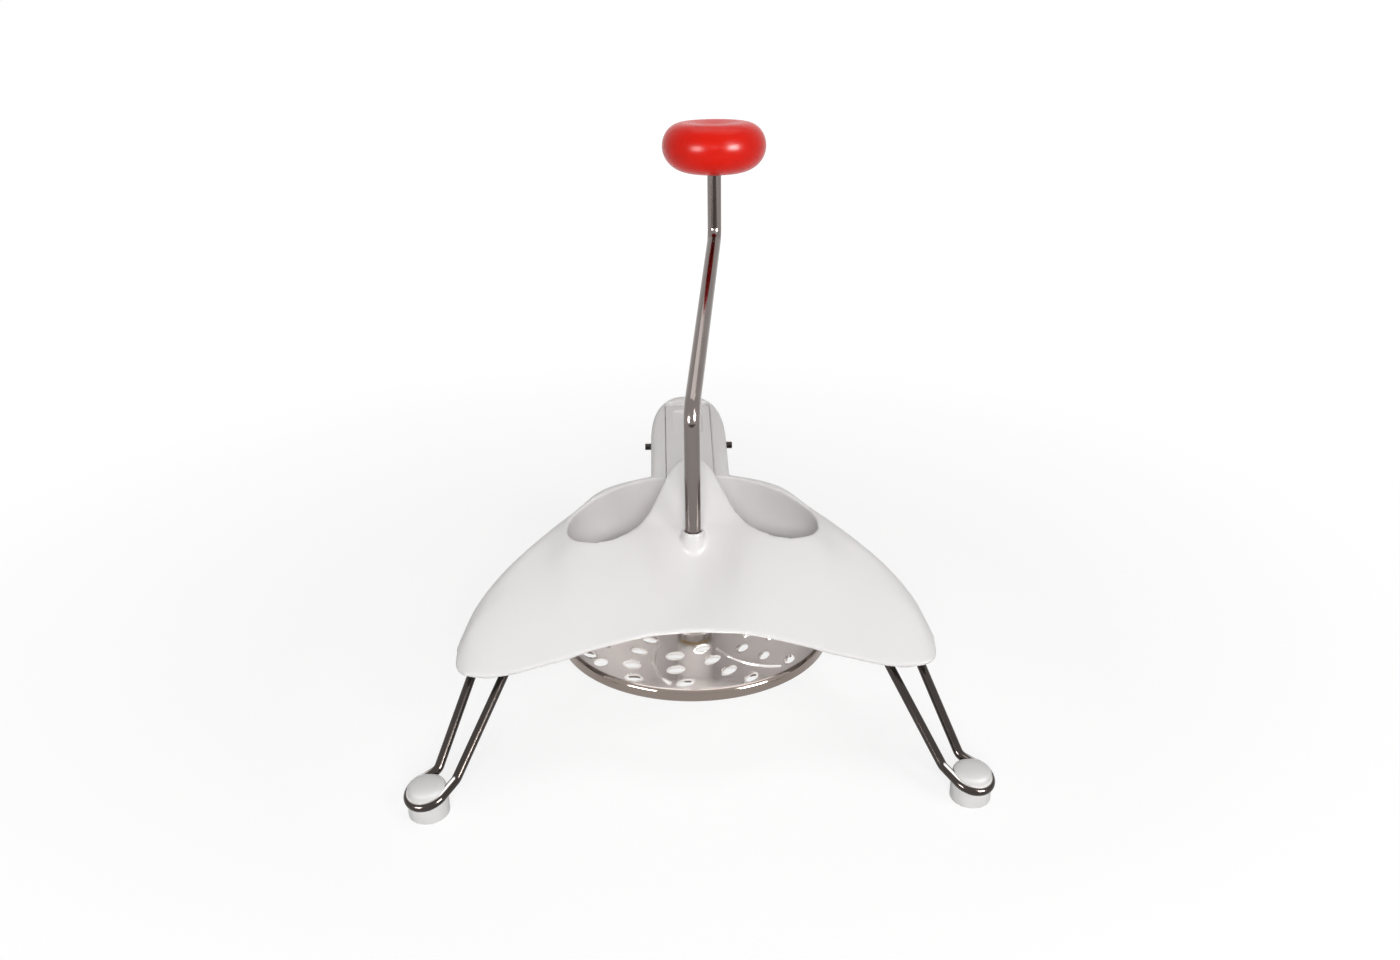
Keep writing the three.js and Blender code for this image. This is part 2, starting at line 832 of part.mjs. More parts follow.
let housing_solid = outer_shell.subtract(inner_shell).add(hopper_wall).subtract(hopper_hole);
housing_solid = housing_solid.add(tongue).add(handle.subtract(hopper_hole)).add(boss).add(nub);
for (const ear of ears) housing_solid = housing_solid.add(ear);
housing_solid = housing_solid.subtract(channel).subtract(knuckle_pocket).subtract(knuckle_mouth);
housing_solid = housing_solid.subtract(lever_pin_bore);
for (const cut of [...rear_slots, ...rear_bores, ...ear_bores]) housing_solid = housing_solid.subtract(cut);
housing_solid = housing_solid.subtract(
  post(bush_diameter / 2 + part_gap, hopper_floor, bush_top + part_gap),
);
housing_solid = housing_solid.subtract(post(bore_radius, hopper_floor, nub_top + cut_margin));

// Presser lever: a bar in the channel, a neck at its front and a knuckle at its rear
const lever_bar = handleBlock(
  [-lever_half, slopeLength(lever_front_y), -lever_thickness],
  [lever_half, hinge_along - shoulder_setback, 0],
).add(
  handleBlock(
    [-lever_half + knuckle_corner, slopeLength(lever_front_y), -lever_thickness],
    [lever_half - knuckle_corner, hinge_along, 0],
  ),
);
const neck = block(
  [-lever_half + part_gap, neck_front_y, neck_bottom],
  [lever_half - part_gap, neck_back_y, handleTop(neck_front_y) - cut_margin],
);
const recess = handleBlock(
  [-recess_width / 2, slopeLength(recess_end_y) - recess_length, -recess_depth],
  [recess_width / 2, slopeLength(recess_end_y), cut_margin],
);
let lever_solid = lever_bar.add(neck).add(knuckle(knuckle_radius, lever_half)).subtract(recess);
lever_solid = lever_solid.subtract(
  crossBar(lever_pin_diameter / 2 + part_gap, -handle_half, handle_half, hinge_y, hinge_z),
);
const screw_xs = [-screw_spacing / 2, screw_spacing / 2];
const screw_bottom = bridge_bottom - part_gap - screw_head_height;
for (const x of screw_xs) {
  const bore = post(
    screw_diameter / 2 + part_gap,
    bridge_bottom - cut_margin,
    bridge_bottom + screw_length + part_gap,
    small_round_count,
  ).translate([x, screw_y, 0]);
  lever_solid = lever_solid.subtract(bore);
}

// Pusher: two lobes low in the hopper, joined behind the sloping wall
const lobe_outline = lobe_shares.map(([x, y]) => [across(x), along(y)]);
const lobe_right = prism(lobe_outline, pusher_bottom, pusher_lobe_top);
const lobe_left = prism(
  lobe_outline.map(([x, y]) => [-x, y]).reverse(),
  pusher_bottom,
  pusher_lobe_top,
);
const bridge = block(
  [-bridge_half_width, bridge_front_y, bridge_bottom],
  [bridge_half_width, along(0.43), neck_bottom - part_gap],
);
let pusher_solid = lobe_right.add(lobe_left).add(bridge);
for (const x of screw_xs) {
  pusher_solid = pusher_solid.subtract(
    post(screw_diameter / 2 + part_gap, pusher_bottom, neck_bottom, small_round_count).translate([
      x,
      screw_y,
      0,
    ]),
  );
}
function screw(x) {
  return turned(
    [
      [0, screw_bottom],
      [screw_head_diameter / 2, screw_bottom],
      [screw_head_diameter / 2, screw_bottom + screw_head_height],
      [screw_diameter / 2, screw_bottom + screw_head_height],
      [screw_diameter / 2, bridge_bottom + screw_length],
      [0, bridge_bottom + screw_length],
    ],
    small_round_count,
  ).translate([x, screw_y, 0]);
}

// Crank rod with a cross hole for the drive pin and a groove for the knob's clip
const rod_top = knob_bottom + knob_height * rod_top_share;
const clip_bottom = knob_bottom + knob_height * knob_floor_share + part_gap;
const spindle_x = crank_side;
const spindle_y = crank_back;
const rod_path = bent([
  { at: at(0, 0, rod_end_height) },
  { at: at(0, 0, rod_bend_height), radius: rod_low_bend_radius },
  { at: at(spindle_x, spindle_y, rod_bend_height + crank_rise), radius: rod_high_bend_radius },
  { at: at(spindle_x, spindle_y, rod_top) },
]);
const rod_side_count = 16;
const pin_z = disc_bottom - hub_neck_drop + pin_diameter / 2 + part_gap;
const clip_groove_radius = rod_radius - clip_groove_depth;
let rod_solid = bar(rod_path, rod_radius, rod_side_count);
rod_solid = rod_solid.subtract(
  crossBar(pin_diameter / 2 + part_gap, -rod_diameter, rod_diameter, 0, pin_z),
);
rod_solid = rod_solid.subtract(
  turnedRing(
    clip_groove_radius,
    rod_diameter,
    clip_bottom - part_gap / 2,
    clip_bottom + clip_thickness + part_gap / 2,
    rod_side_count,
  ).translate([spindle_x, spindle_y, 0]),
);

// Knob: a flattened round with a seat for its cap, and a clip on the rod inside it
const knob_radius = knob_diameter / 2;
const knob_middle = (knob_top + knob_bottom) / 2;
const seat_radius = dimple_diameter / 2;
const cavity_radius = clip_diameter / 2 + turning_gap * 2;
const edge_reach = knob_radius - knob_edge_radius;
const knob_profile = [];
const knob_arc_count = 9;
knob_profile.push([bore_radius, knob_bottom]);
for (let k = 0; k <= knob_arc_count; k += 1) {
  const turn = -quarter + (half_turn * k) / knob_arc_count;
  knob_profile.push([
    edge_reach + Math.cos(turn) * knob_edge_radius,
    knob_middle + (Math.sin(turn) * knob_height) / 2,
  ]);
}
knob_profile.splice(-2, 2);
const seat_floor = knob_top - cap_seat_depth;
const lip_z = knob_top - dimple_depth * 0.25;
knob_profile.push([seat_radius + part_gap, lip_z]);
knob_profile.push([seat_radius + part_gap, seat_floor]);
knob_profile.push([cavity_radius, seat_floor]);
knob_profile.push([cavity_radius, clip_bottom - part_gap]);
knob_profile.push([bore_radius, clip_bottom - part_gap]);
knob_profile.push([bore_radius, knob_bottom]);
const spindle = [spindle_x, spindle_y, 0];
const knob_round_count = 32;
const knob_solid = turned(knob_profile, knob_round_count).translate(spindle);
const cap_bottom = seat_floor + part_gap;
const cap_solid = turned(
  [
    [0, cap_bottom],
    [seat_radius, cap_bottom],
    [seat_radius, lip_z - dimple_depth * 0.1],
    [seat_radius * 0.8, knob_top - dimple_depth * 0.62],
    [seat_radius * 0.45, knob_top - dimple_depth * 0.92],
    [0, knob_top - dimple_depth],
  ],
  knob_round_count,
).translate(spindle);
const clip_solid = turnedRing(
  clip_groove_radius + part_gap,
  clip_diameter / 2,
  clip_bottom,
  clip_bottom + clip_thickness,
  small_round_count * 2,
).translate(spindle);

// Cutting disc: a dished sheet, teeth raised over their holes, and pressed ribs
const rim_inner = disc_radius - disc_sheet;
const rim_bottom = disc_top - disc_rim_depth;
const disc_round_count = 48;
const hub_hole_radius = hub_neck_diameter / 2 + part_gap;
let disc_solid = turned(
  [
    [hub_hole_radius, disc_bottom],
    [rim_inner - disc_edge_radius, disc_bottom],
    [rim_inner - disc_edge_radius * 0.3, disc_bottom - disc_edge_radius * 0.3],
    [rim_inner, disc_bottom - disc_edge_radius],
    [rim_inner, rim_bottom],
    [disc_radius, rim_bottom],
    [disc_radius, disc_top - disc_edge_radius],
    [disc_radius - disc_edge_radius * 0.3, disc_top - disc_edge_radius * 0.3],
    [disc_radius - disc_edge_radius, disc_top],
    [hub_hole_radius, disc_top],
    [hub_hole_radius, disc_bottom],
  ],
  disc_round_count,
);

// One tooth: half of a thin dome over its hole, open on one side
const dome_count = 6;
const dome_waist_share = 0.72;
function dome(length, width, height, foot) {
  const profile = [
    [0, -foot],
    [length / 2, -foot],
    [length / 2, 0],
    [(length / 2) * dome_waist_share, height * dome_waist_share],
    [0, height],
  ];
  return turned(profile, dome_count).scale([1, width / length, 1]);
}
const tooth_hole = dome(
  tooth_length - tooth_sheet * 2,
  tooth_width - tooth_sheet * 2,
  tooth_height - tooth_sheet,
  disc_sheet * 2,
);
const tooth_hood = dome(tooth_length, tooth_width, tooth_height, disc_sheet / 2).intersect(
  block([-tooth_length, 0, -disc_sheet], [tooth_length, tooth_width, tooth_height * 2]),
);
const hoods = [];
const holes = [];
for (let row = 0; row < tooth_row_count; row += 1) {
  const long = row % 2 === 0;
  const radii = long ? long_row_shares : short_row_shares;
  const turns = long ? long_row_turns : short_row_turns;
  radii.forEach((share, k) => {
    const turn = first_row_turn + (row * 360) / tooth_row_count + turns[k];
    const radius = share * disc_radius;
    const place = [
      Math.cos(turn * degree) * radius,
      Math.sin(turn * degree) * radius,
      disc_top,
    ];
    const facing = [0, 0, turn + 90 + tooth_skew];
    hoods.push(tooth_hood.rotate(facing).translate(place));
    holes.push(tooth_hole.rotate(facing).translate(place));
  });
}

// Ribs: curved low ridges between the rows
const ribs = [];
for (let row = 0; row < rib_count; row += 1) {
  const places = rib_radius_shares.map((share, k) => {
    const turn = (first_rib_turn + (row * 360) / rib_count + rib_turns[k]) * degree;
    const radius = share * (disc_radius - disc_edge_radius - rib_width / 2);
    return at(Math.cos(turn) * radius, Math.sin(turn) * radius, disc_top);
  });
  const rib = bar(places, rib_width / 2, rib_side_count)
    .translate([0, 0, -disc_top])
    .scale([1, 1, rib_height / (rib_width / 2)])
    .translate([0, 0, disc_top - disc_sheet * 0.05]);
  ribs.push(rib.trimByPlane([0, 0, 1], disc_top - disc_sheet * 0.5));
}

disc_solid = wasm.Manifold.union([disc_solid, ...ribs, ...hoods]);
disc_solid = disc_solid.subtract(wasm.Manifold.union(holes));
const key_turn = key_hole_turn * degree;
disc_solid = disc_solid.subtract(
  post(key_hole_diameter / 2, rim_bottom, hub_top, small_round_count).translate([
    Math.cos(key_turn) * disc_radius * key_hole_radius_share,
    Math.sin(key_turn) * disc_radius * key_hole_radius_share,
    0,
  ]),
);

// Hub on the disc, with a groove beneath for the drive pin and three rivets
const flange_bottom = disc_top + part_gap;
const flange_top = flange_bottom + hub_flange_thickness;
const neck_end = disc_bottom - hub_neck_drop;
let hub_solid = turned([
  [bore_radius, neck_end],
  [hub_neck_diameter / 2, neck_end],
  [hub_neck_diameter / 2, flange_bottom],
  [hub_flange_diameter / 2, flange_bottom],
  [hub_flange_diameter / 2, flange_top],
  [hub_diameter / 2, flange_top],
  [hub_diameter / 2, hub_top],
  [bore_radius, hub_top],
  [bore_radius, neck_end],
]);
const pin_half = pin_diameter / 2 + part_gap;
hub_solid = hub_solid.subtract(
  block([-hub_diameter, -pin_half, neck_end - cut_margin], [hub_diameter, pin_half, pin_z + pin_half]),
);
const drive_pin_solid = crossBar(pin_diameter / 2, -pin_length / 2, pin_length / 2, 0, pin_z);
const rivets = [];
for (let row = 0; row < 3; row += 1) {
  const turn = (row * full_turn) / 3 + quarter;
  const x = (Math.cos(turn) * rivet_circle_diameter) / 2;
  const y = (Math.sin(turn) * rivet_circle_diameter) / 2;
  const hole = post(
    rivet_diameter / 2 + part_gap,
    rim_bottom,
    hub_top,
    small_round_count,
  ).translate([x, y, 0]);
  disc_solid = disc_solid.subtract(hole);
  hub_solid = hub_solid.subtract(hole);
  const head = rivet_head_diameter / 2;
  const shank = rivet_diameter / 2;
  const low = disc_bottom - part_gap;
  const high = flange_top + part_gap;
  rivets.push(
    turned(
      [
        [0, low - rivet_head_height],
        [head * 0.7, low - rivet_head_height],
        [head, low],
        [shank, low],
        [shank, high],
        [head, high],
        [head * 0.7, high + rivet_head_height],
        [0, high + rivet_head_height],
      ],
      small_round_count,
    ).translate([x, y, 0]),
  );
}

// Washer and bush on the shaft
const washer_solid = turnedRing(
  bore_radius,
  washer_diameter / 2,
  washer_bottom,
  washer_bottom + washer_thickness,
);
const bush_solid = turned([
  [bore_radius, bush_bottom],
  [bush_flange_diameter / 2, bush_bottom],
  [bush_flange_diameter / 2, bush_shoulder],
  [bush_diameter / 2, bush_shoulder],
  [bush_diameter / 2, bush_top],
  [bore_radius, bush_top],
  [bore_radius, bush_bottom],
]);

// Front leg path on the right side; the other leg is its mirror image
function ringPlaces(centre_x, centre_y, from_turn, to_turn, lift_turn) {
  const places = [];
  for (let k = 0; k <= ring_count; k += 1) {
    const turn = (from_turn + ((to_turn - from_turn) * k) / ring_count) * degree;
    places.push(
      at(
        centre_x + Math.cos(turn) * foot_ring_radius,
        centre_y + Math.sin(turn) * foot_ring_radius,
        ring_height + Math.cos(turn - lift_turn * degree) * ring_tilt,
      ),
    );
  }
  return places;
}
const front_ring_start = -150;
const front_ring_end = 73;
const front_lift_turn = 125;
const front_ring = ringPlaces(
  front_foot_x,
  front_foot_y,
  front_ring_start,
  front_ring_end,
  front_lift_turn,
);
const near_stub_x = near_wire_x - wire_bend_radius - stub_length;
const far_stub_x = far_wire_x + wire_bend_radius + stub_length;
const near_top = at(near_wire_x, front_pivot_y, front_pivot_z);
const near_low = at(near_vertex_x, near_vertex_y, near_vertex_z);
const far_top = at(far_wire_x, front_pivot_y, front_pivot_z);
const far_low = at(far_vertex_x, far_vertex_y, far_vertex_z);
const front_path = bent([
  { at: at(near_stub_x, front_pivot_y, front_pivot_z) },
  { at: near_top, radius: wire_bend_radius },
  { at: near_low, radius: foot_near_bend_radius },
  ...front_ring.map((place) => ({ at: place })),
  { at: far_low, radius: foot_far_bend_radius },
  { at: far_top, radius: wire_bend_radius },
  { at: at(far_stub_x, front_pivot_y, front_pivot_z) },
]);

// Rear leg path, from one stub to the other
const rear_ring_start = -35;
const rear_ring_end = 215;
const rear_lift_turn = -90;
const rear_ring = ringPlaces(0, rear_foot_y, rear_ring_start, rear_ring_end, rear_lift_turn);
const rear_run = (rear_foot_y - rear_pivot_y) / (rear_pivot_z - ring_height);
function rearWire(side) {
  const low_x = Math.abs(rear_ring[0].x) + wire_diameter / 2;
  return [
    { at: at(side * rear_stub_x, rear_pivot_y, rear_pivot_z) },
    { at: at(side * rear_wire_x, rear_pivot_y, rear_pivot_z), radius: wire_bend_radius },
    {
      at: at(
        side * rear_wire_x,
        rear_pivot_y + rear_straight_drop * rear_run,
        rear_pivot_z - rear_straight_drop,
      ),
      radius: foot_near_bend_radius,
    },
    {
      at: at(side * low_x, rear_foot_y - foot_ring_radius * 1.1, ring_height + ring_tilt * 1.6),
      radius: foot_far_bend_radius,
    },
  ];
}
const rear_path = bent([
  ...rearWire(1),
  ...rear_ring.map((place) => ({ at: place })),
  ...rearWire(-1).reverse(),
]);

const wire_radius = wire_diameter / 2;
const front_leg = bar(front_path, wire_radius);
const rear_leg = bar(rear_path, wire_radius);

// Foot: a soft plug with a groove where the wire goes round it
function footBlank(x, y) {
  const base = foot_diameter / 2;
  const head = foot_dome_diameter / 2;
  return turned(
    [
      [0, 0],
      [base - foot_edge, 0],
      [base, foot_edge],
      [base, ring_height - wire_radius],
      [head, ring_height],
      [head, ring_height + wire_radius * 0.9],
      [head * 0.92, foot_height * 0.9],
      [head * 0.7, foot_height * 0.97],
      [head * 0.35, foot_height * 0.995],
      [0, foot_height],
    ],
    20,
  ).translate([x, y, 0]);
}
const groove_radius = wire_radius + part_gap;
const front_foot = footBlank(front_foot_x, front_foot_y).subtract(bar(front_path, groove_radius));
const rear_foot = footBlank(0, rear_foot_y).subtract(bar(rear_path, groove_radius));
const mirrorX = (solid) => solid.mirror([1, 0, 0]);

// Materials
function material(color, roughness, metalness) {
  return new THREE.MeshStandardMaterial({ color, roughness, metalness });
}
const white_plastic = () => material(0xf0efec, 0.32, 0);
const red_plastic = () => material(0xe1230f, 0.18, 0);
const steel = () => material(0xb9b4ae, 0.18, 1);
const bright_steel = () => material(0xd4d2cf, 0.1, 1);
const white_rubber = () => material(0xf2f1ee, 0.6, 0);
const grey_plastic = () => material(0xd8d6d0, 0.5, 0);
const brass = () => material(0xb8924a, 0.35, 1);

// Assembly
const assembly = new THREE.Group();
assembly.name = "assembly";
assembly.position.y = plan_shift;
function place(name, solid, finish) {
  const mesh = new THREE.Mesh(geometryOf(solid), finish);
  mesh.name = name;
  assembly.add(mesh);
}
place("housing", housing_solid, white_plastic());
place("presser_lever", lever_solid, white_plastic());
place("pusher_block", pusher_solid, white_plastic());
place("pusher_screw_left", screw(-screw_spacing / 2), steel());
place("pusher_screw_right", screw(screw_spacing / 2), steel());
place(
  "lever_pin",
  crossBar(lever_pin_diameter / 2, -lever_pin_length / 2, lever_pin_length / 2, hinge_y, hinge_z),
  steel(),
);
place("shaft_bush", bush_solid, grey_plastic());
place("thrust_washer", washer_solid, brass());
place("crank_rod", rod_solid, steel());
place("drive_pin", drive_pin_solid, steel());
place("knob_body", knob_solid, red_plastic());
place("knob_cap", cap_solid, red_plastic());
place("knob_clip", clip_solid, steel());
place("cutting_disc", disc_solid, bright_steel());
place("disc_hub", hub_solid, bright_steel());
rivets.forEach((rivet, k) => place(`hub_rivet_${k + 1}`, rivet, steel()));
place("front_left_leg", mirrorX(front_leg), steel());
place("front_right_leg", front_leg, steel());
place("rear_leg", rear_leg, steel());
place("front_left_foot", mirrorX(front_foot), white_rubber());
place("front_right_foot", front_foot, white_rubber());
place("rear_foot", rear_foot, white_rubber());

const slicer = new THREE.Group();
slicer.name = "julienne_slicer";
slicer.add(assembly);
export default slicer;
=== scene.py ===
# %% [markdown]
# # A julienne slicer
# A white moulded body stands on three folding wire legs.
# A bent steel crank with a red knob turns a mirror-bright cutting disc beneath it.
# The hard parts are already in the frame, in metres, with +Z up and the front toward -Y.
# Each step says what a piece is on the real slicer and then models it over its plain solid.

# %% Load the frame
import math

import bpy
import numpy as np
from mathutils import Matrix, Vector


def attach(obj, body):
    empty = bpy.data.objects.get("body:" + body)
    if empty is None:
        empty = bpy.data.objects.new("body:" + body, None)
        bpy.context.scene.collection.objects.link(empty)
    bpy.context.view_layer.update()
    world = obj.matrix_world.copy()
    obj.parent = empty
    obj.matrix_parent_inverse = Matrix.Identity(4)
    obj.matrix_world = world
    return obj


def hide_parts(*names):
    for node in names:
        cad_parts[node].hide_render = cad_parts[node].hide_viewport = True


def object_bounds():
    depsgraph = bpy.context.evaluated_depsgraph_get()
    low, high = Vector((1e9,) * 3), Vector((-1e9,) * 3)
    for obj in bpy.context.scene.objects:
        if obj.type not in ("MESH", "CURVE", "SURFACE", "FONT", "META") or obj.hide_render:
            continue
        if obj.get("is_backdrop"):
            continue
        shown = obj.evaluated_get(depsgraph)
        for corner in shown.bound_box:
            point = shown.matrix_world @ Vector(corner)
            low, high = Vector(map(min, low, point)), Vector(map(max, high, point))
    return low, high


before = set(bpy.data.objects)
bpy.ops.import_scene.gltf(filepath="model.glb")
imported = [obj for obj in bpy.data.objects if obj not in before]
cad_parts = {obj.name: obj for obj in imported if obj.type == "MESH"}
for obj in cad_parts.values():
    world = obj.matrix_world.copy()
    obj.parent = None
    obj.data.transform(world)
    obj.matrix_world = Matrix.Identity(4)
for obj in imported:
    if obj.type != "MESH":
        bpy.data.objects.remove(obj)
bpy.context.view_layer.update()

# %% [markdown]
# ## Measures
# The drawing of the slicer is in millimetres from the crank's own axis.
# The frame has its origin under the middle of the whole slicer, so every place is shifted back once.

# %% Millimetres from the crank axis
MM = 0.001
PLAN_SHIFT = -26.6125


def spot(x, y, z):
    """A place in millimetres from the crank axis, as metres in the frame."""
    return Vector((x * MM, (y + PLAN_SHIFT) * MM, z * MM))


def only(*pieces):
    """These pieces alone are selected, and the first is active."""
    bpy.ops.object.select_all(action="DESELECT")
    for piece in pieces:
        piece.select_set(True)
    bpy.context.view_layer.objects.active = pieces[0]


def named(name):
    """The piece just made, under its name."""
    bpy.context.object.name = name
    return bpy.context.object


def settled(name):
    """The piece just made, with its place, turn and size in its mesh."""
    bpy.ops.object.transform_apply(location=True, rotation=True, scale=True)
    return named(name)


def open_edit():
    """Edit mode begins with everything selected."""
    bpy.ops.object.mode_set(mode="EDIT")
    bpy.ops.mesh.select_all(action="SELECT")


def close_edit():
    """All faces are turned outward and edit mode ends."""
    bpy.ops.mesh.select_all(action="SELECT")
    bpy.ops.mesh.normals_make_consistent(inside=False)
    bpy.ops.object.mode_set(mode="OBJECT")


def triangles(piece):
    return sum(len(p.vertices) - 2 for p in piece.data.polygons)


def report(piece):
    print(f"{piece.name}: {len(piece.data.vertices)} points, {triangles(piece)} triangles")


print("shift back by", PLAN_SHIFT, "mm")

# %% [markdown]
# ## Camera
# The slicer was photographed from a little above, close enough that the crank looks tall.
# The camera stands half a metre in front, turned down by about 23 degrees, with a short lens.
# Its place was worked out from the feet, the knob and the disc, so that each falls on its own pixel.

# %% Camera
photo_width = 1400
focal_pixels = 1149.9
camera_turn, camera_dip, camera_roll = (math.radians(a) for a in (1.595, 22.598, -0.640))
turn = Matrix.Rotation(camera_turn, 3, "Z")
sine, cosine = math.sin(camera_dip), math.cos(camera_dip)
dip = Matrix(((1, 0, 0), (0, -sine, -cosine), (0, cosine, -sine)))
roll = Matrix.Rotation(camera_roll, 3, "Z")
sight = roll @ dip @ turn
stand = spot(-9.6, -464.1, 299.2)
lens = bpy.data.cameras.new("photo_camera")
lens.sensor_width = 36
lens.sensor_fit = "HORIZONTAL"
lens.lens = focal_pixels * lens.sensor_width / photo_width
lens.clip_start = 0.01
lens.clip_end = 50
lens.dof.use_dof = False
camera = bpy.data.objects.new("photo_camera", lens)
bpy.context.scene.collection.objects.link(camera)
axes = Matrix((sight[0], -sight[1], -sight[2])).transposed()
camera.matrix_world = Matrix.Translation(stand) @ axes.to_4x4()
bpy.context.scene.camera = camera
print("camera at", [round(v, 3) for v in stand], "lens", round(lens.lens, 2), "mm")

# %% [markdown]
# ## Floor, room and lamps
# The slicer stands on plain white, with nothing else in sight.
# The floor is a big pale plane. Seen directly or in the steel it glows a little, so it reads as white,
# and it still takes the soft shadows of the feet. Light that it throws back up comes from its plain colour.
# The room does the same. One soft lamp stands high on the right, a broad one hangs above, and one behind
# the camera fills the hollows that it looks into. Mirrors alone see two more, left and right in front,
# which give the two highlights of the knob and the glints in the bends of the rod.


# %% Shader nodes with their values
def put(nodes, kind, values=None, **settings):
    """A new node with its settings, and with values on its sockets."""
    node = nodes.new("ShaderNode" + kind)
    for key, value in settings.items():
        setattr(node, key, value)
    for socket, value in (values or {}).items():
        node.inputs[socket].default_value = value
    return node


def link(start, output, end, socket):
    """One node's output, by name or number, feeds a socket of another node."""
    start.id_data.links.new(start.outputs[output], end.inputs[socket])


def bare_paint(name):
    """A material without nodes, and its empty list of nodes."""
    paint = bpy.data.materials.new(name)
    paint.use_nodes = True
    paint.node_tree.nodes.clear()
    return paint, paint.node_tree.nodes


def two_ways(nodes, bounced, seen, out):
    """One shader for light that bounces on, another for the eye, a mirror or a look through glass."""
    path = put(nodes, "LightPath")
    mask, output = path, "Is Camera Ray"
    for kind in ("Is Glossy Ray", "Is Transmission Ray"):
        either = put(nodes, "Math", operation="MAXIMUM")
        link(mask, output, either, 0)
        link(path, kind, either, 1)
        mask, output = either, 0
    choice = put(nodes, "MixShader")
    link(mask, output, choice, 0)
    link(bounced, 0, choice, 1)
    link(seen, 0, choice, 2)
    link(choice, 0, out, "Surface")


print("node helpers ready")

# %% Floor paint
floor_paint, nodes = bare_paint("studio_floor")
plain = put(nodes, "BsdfDiffuse", {"Color": (0.8, 0.8, 0.8, 1)})
thin = put(nodes, "BsdfDiffuse", {"Color": (0.3, 0.3, 0.3, 1)})
glow = put(nodes, "Emission", {"Color": (1, 1, 1, 1)})
far = put(nodes, "TexCoord")
away = put(nodes, "VectorMath", operation="LENGTH")
fade = put(nodes, "MapRange", {"From Min": 0.2, "From Max": 0.9, "To Min": 0.76, "To Max": 1.0})
both = put(nodes, "AddShader")
link(far, "Object", away, 0)
link(away, "Value", fade, "Value")
link(fade, 0, glow, "Strength")
link(thin, 0, both, 0)
link(glow, 0, both, 1)
two_ways(nodes, plain, both, put(nodes, "OutputMaterial"))
print("floor paint ready")

# %% The floor
bpy.ops.mesh.primitive_plane_add(size=60, location=(0, 0, 0))
floor = named("studio_floor")
floor.data.materials.append(floor_paint)
floor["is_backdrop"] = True
print("floor", tuple(floor.dimensions))

# %% The room
room = bpy.data.worlds.new("studio_room")
bpy.context.scene.world = room
room.use_nodes = True
nodes = room.node_tree.nodes
nodes.clear()
soft = put(nodes, "Background", {"Color": (1, 1, 1, 1), "Strength": 0.15})
white = put(nodes, "Background", {"Color": (1, 1, 1, 1), "Strength": 1.0})
two_ways(nodes, soft, white, put(nodes, "OutputWorld"))
print("room ready")


# %% Soft lamps
def soft_lamp(name, place, target, width, height, power):
    light = bpy.data.lights.new(name, "AREA")
    light.shape, light.size, light.size_y, light.energy = "RECTANGLE", width, height, power
    lamp = bpy.data.objects.new(name, light)
    bpy.context.scene.collection.objects.link(lamp)
    lamp.location = place
    lamp.rotation_euler = (Vector(target) - Vector(place)).to_track_quat("-Z", "Y").to_euler()
    return lamp


middle = (0, 0, 0.1)
soft_lamp("lamp_right", (0.75, -0.85, 0.85), middle, 0.32, 0.32, 2.2)
soft_lamp("lamp_above", (0.1, 0.3, 1.4), middle, 1.2, 0.8, 4.6)
soft_lamp("lamp_front", (0, -1.0, 0.52), (0, 0, 0.08), 0.5, 0.3, 6.2).visible_glossy = False
for name, place, power in (("glint_left", (-0.8, -0.9, 0.36), 20), ("glint_right", (0.82, -0.85, 0.44), 36)):
    soft_lamp(name, place, middle, 0.46, 0.34, power).visible_diffuse = False
bpy.context.scene.view_settings.view_transform = "Standard"
print("five lamps")

# %% [markdown]
# The upper, upright part of the rod mirrors the floor far in front, which was dark in the studio.
# A grey card lies there, out of the camera's sight. Only mirrors see it, so it throws no shadow.

# %% The grey card
bpy.ops.mesh.primitive_plane_add(size=1, location=(-0.2, -1.5, 0.002))
card = named("grey_card")
card.scale = (2.2, 1.9, 1)
card_paint, nodes = bare_paint("grey_card")
card_glow = put(nodes, "Emission", {"Color": (0.2, 0.18, 0.17, 1)})
link(card_glow, 0, put(nodes, "OutputMaterial"), "Surface")
card.data.materials.append(card_paint)
for kind in ("camera", "diffuse", "shadow", "transmission"):
    setattr(card, "visible_" + kind, False)
card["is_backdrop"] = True
print("card", tuple(round(v, 2) for v in card.dimensions))

# %% [markdown]
# ## Surface detail shared by the finishes
# Moulded plastic, drawn wire and rubber all have small unevenness that a flat colour lacks.
# One group gives two kinds of noise: a wide cloud for slow drifts of tone, and a fine grain for tiny bumps.
# A second group gives the pattern of polishing lines that run round an upright axis, as on turned metal.


# %% Group of cloud and grain
def new_group(name, numbers, outputs):
    """A group with a place and numbers going in, and numbers coming out."""
    group = bpy.data.node_groups.new(name, "ShaderNodeTree")
    group.interface.new_socket(name="Place", in_out="INPUT", socket_type="NodeSocketVector")
    for label, value in numbers.items():
        socket = group.interface.new_socket(name=label, in_out="INPUT", socket_type="NodeSocketFloat")
        socket.default_value = value
    for label in outputs:
        group.interface.new_socket(name=label, in_out="OUTPUT", socket_type="NodeSocketFloat")
    return group, group.nodes.new("NodeGroupInput"), group.nodes.new("NodeGroupOutput")


scales = {"Cloud Scale": 14.0, "Grain Scale": 900.0}
cloud_grain, inside, outside = new_group("cloud_and_grain", scales, ("Cloud", "Grain"))
cloud = put(cloud_grain.nodes, "TexNoise", {"Detail": 3})
grain = put(cloud_grain.nodes, "TexNoise", {"Detail": 2, "Roughness": 0.6})
for noise, scale, label in ((cloud, "Cloud Scale", "Cloud"), (grain, "Grain Scale", "Grain")):
    link(inside, "Place", noise, "Vector")
    link(inside, scale, noise, "Scale")
    link(noise, "Fac", outside, label)
print(cloud_grain.name, [s.name for s in cloud_grain.interface.items_tree])

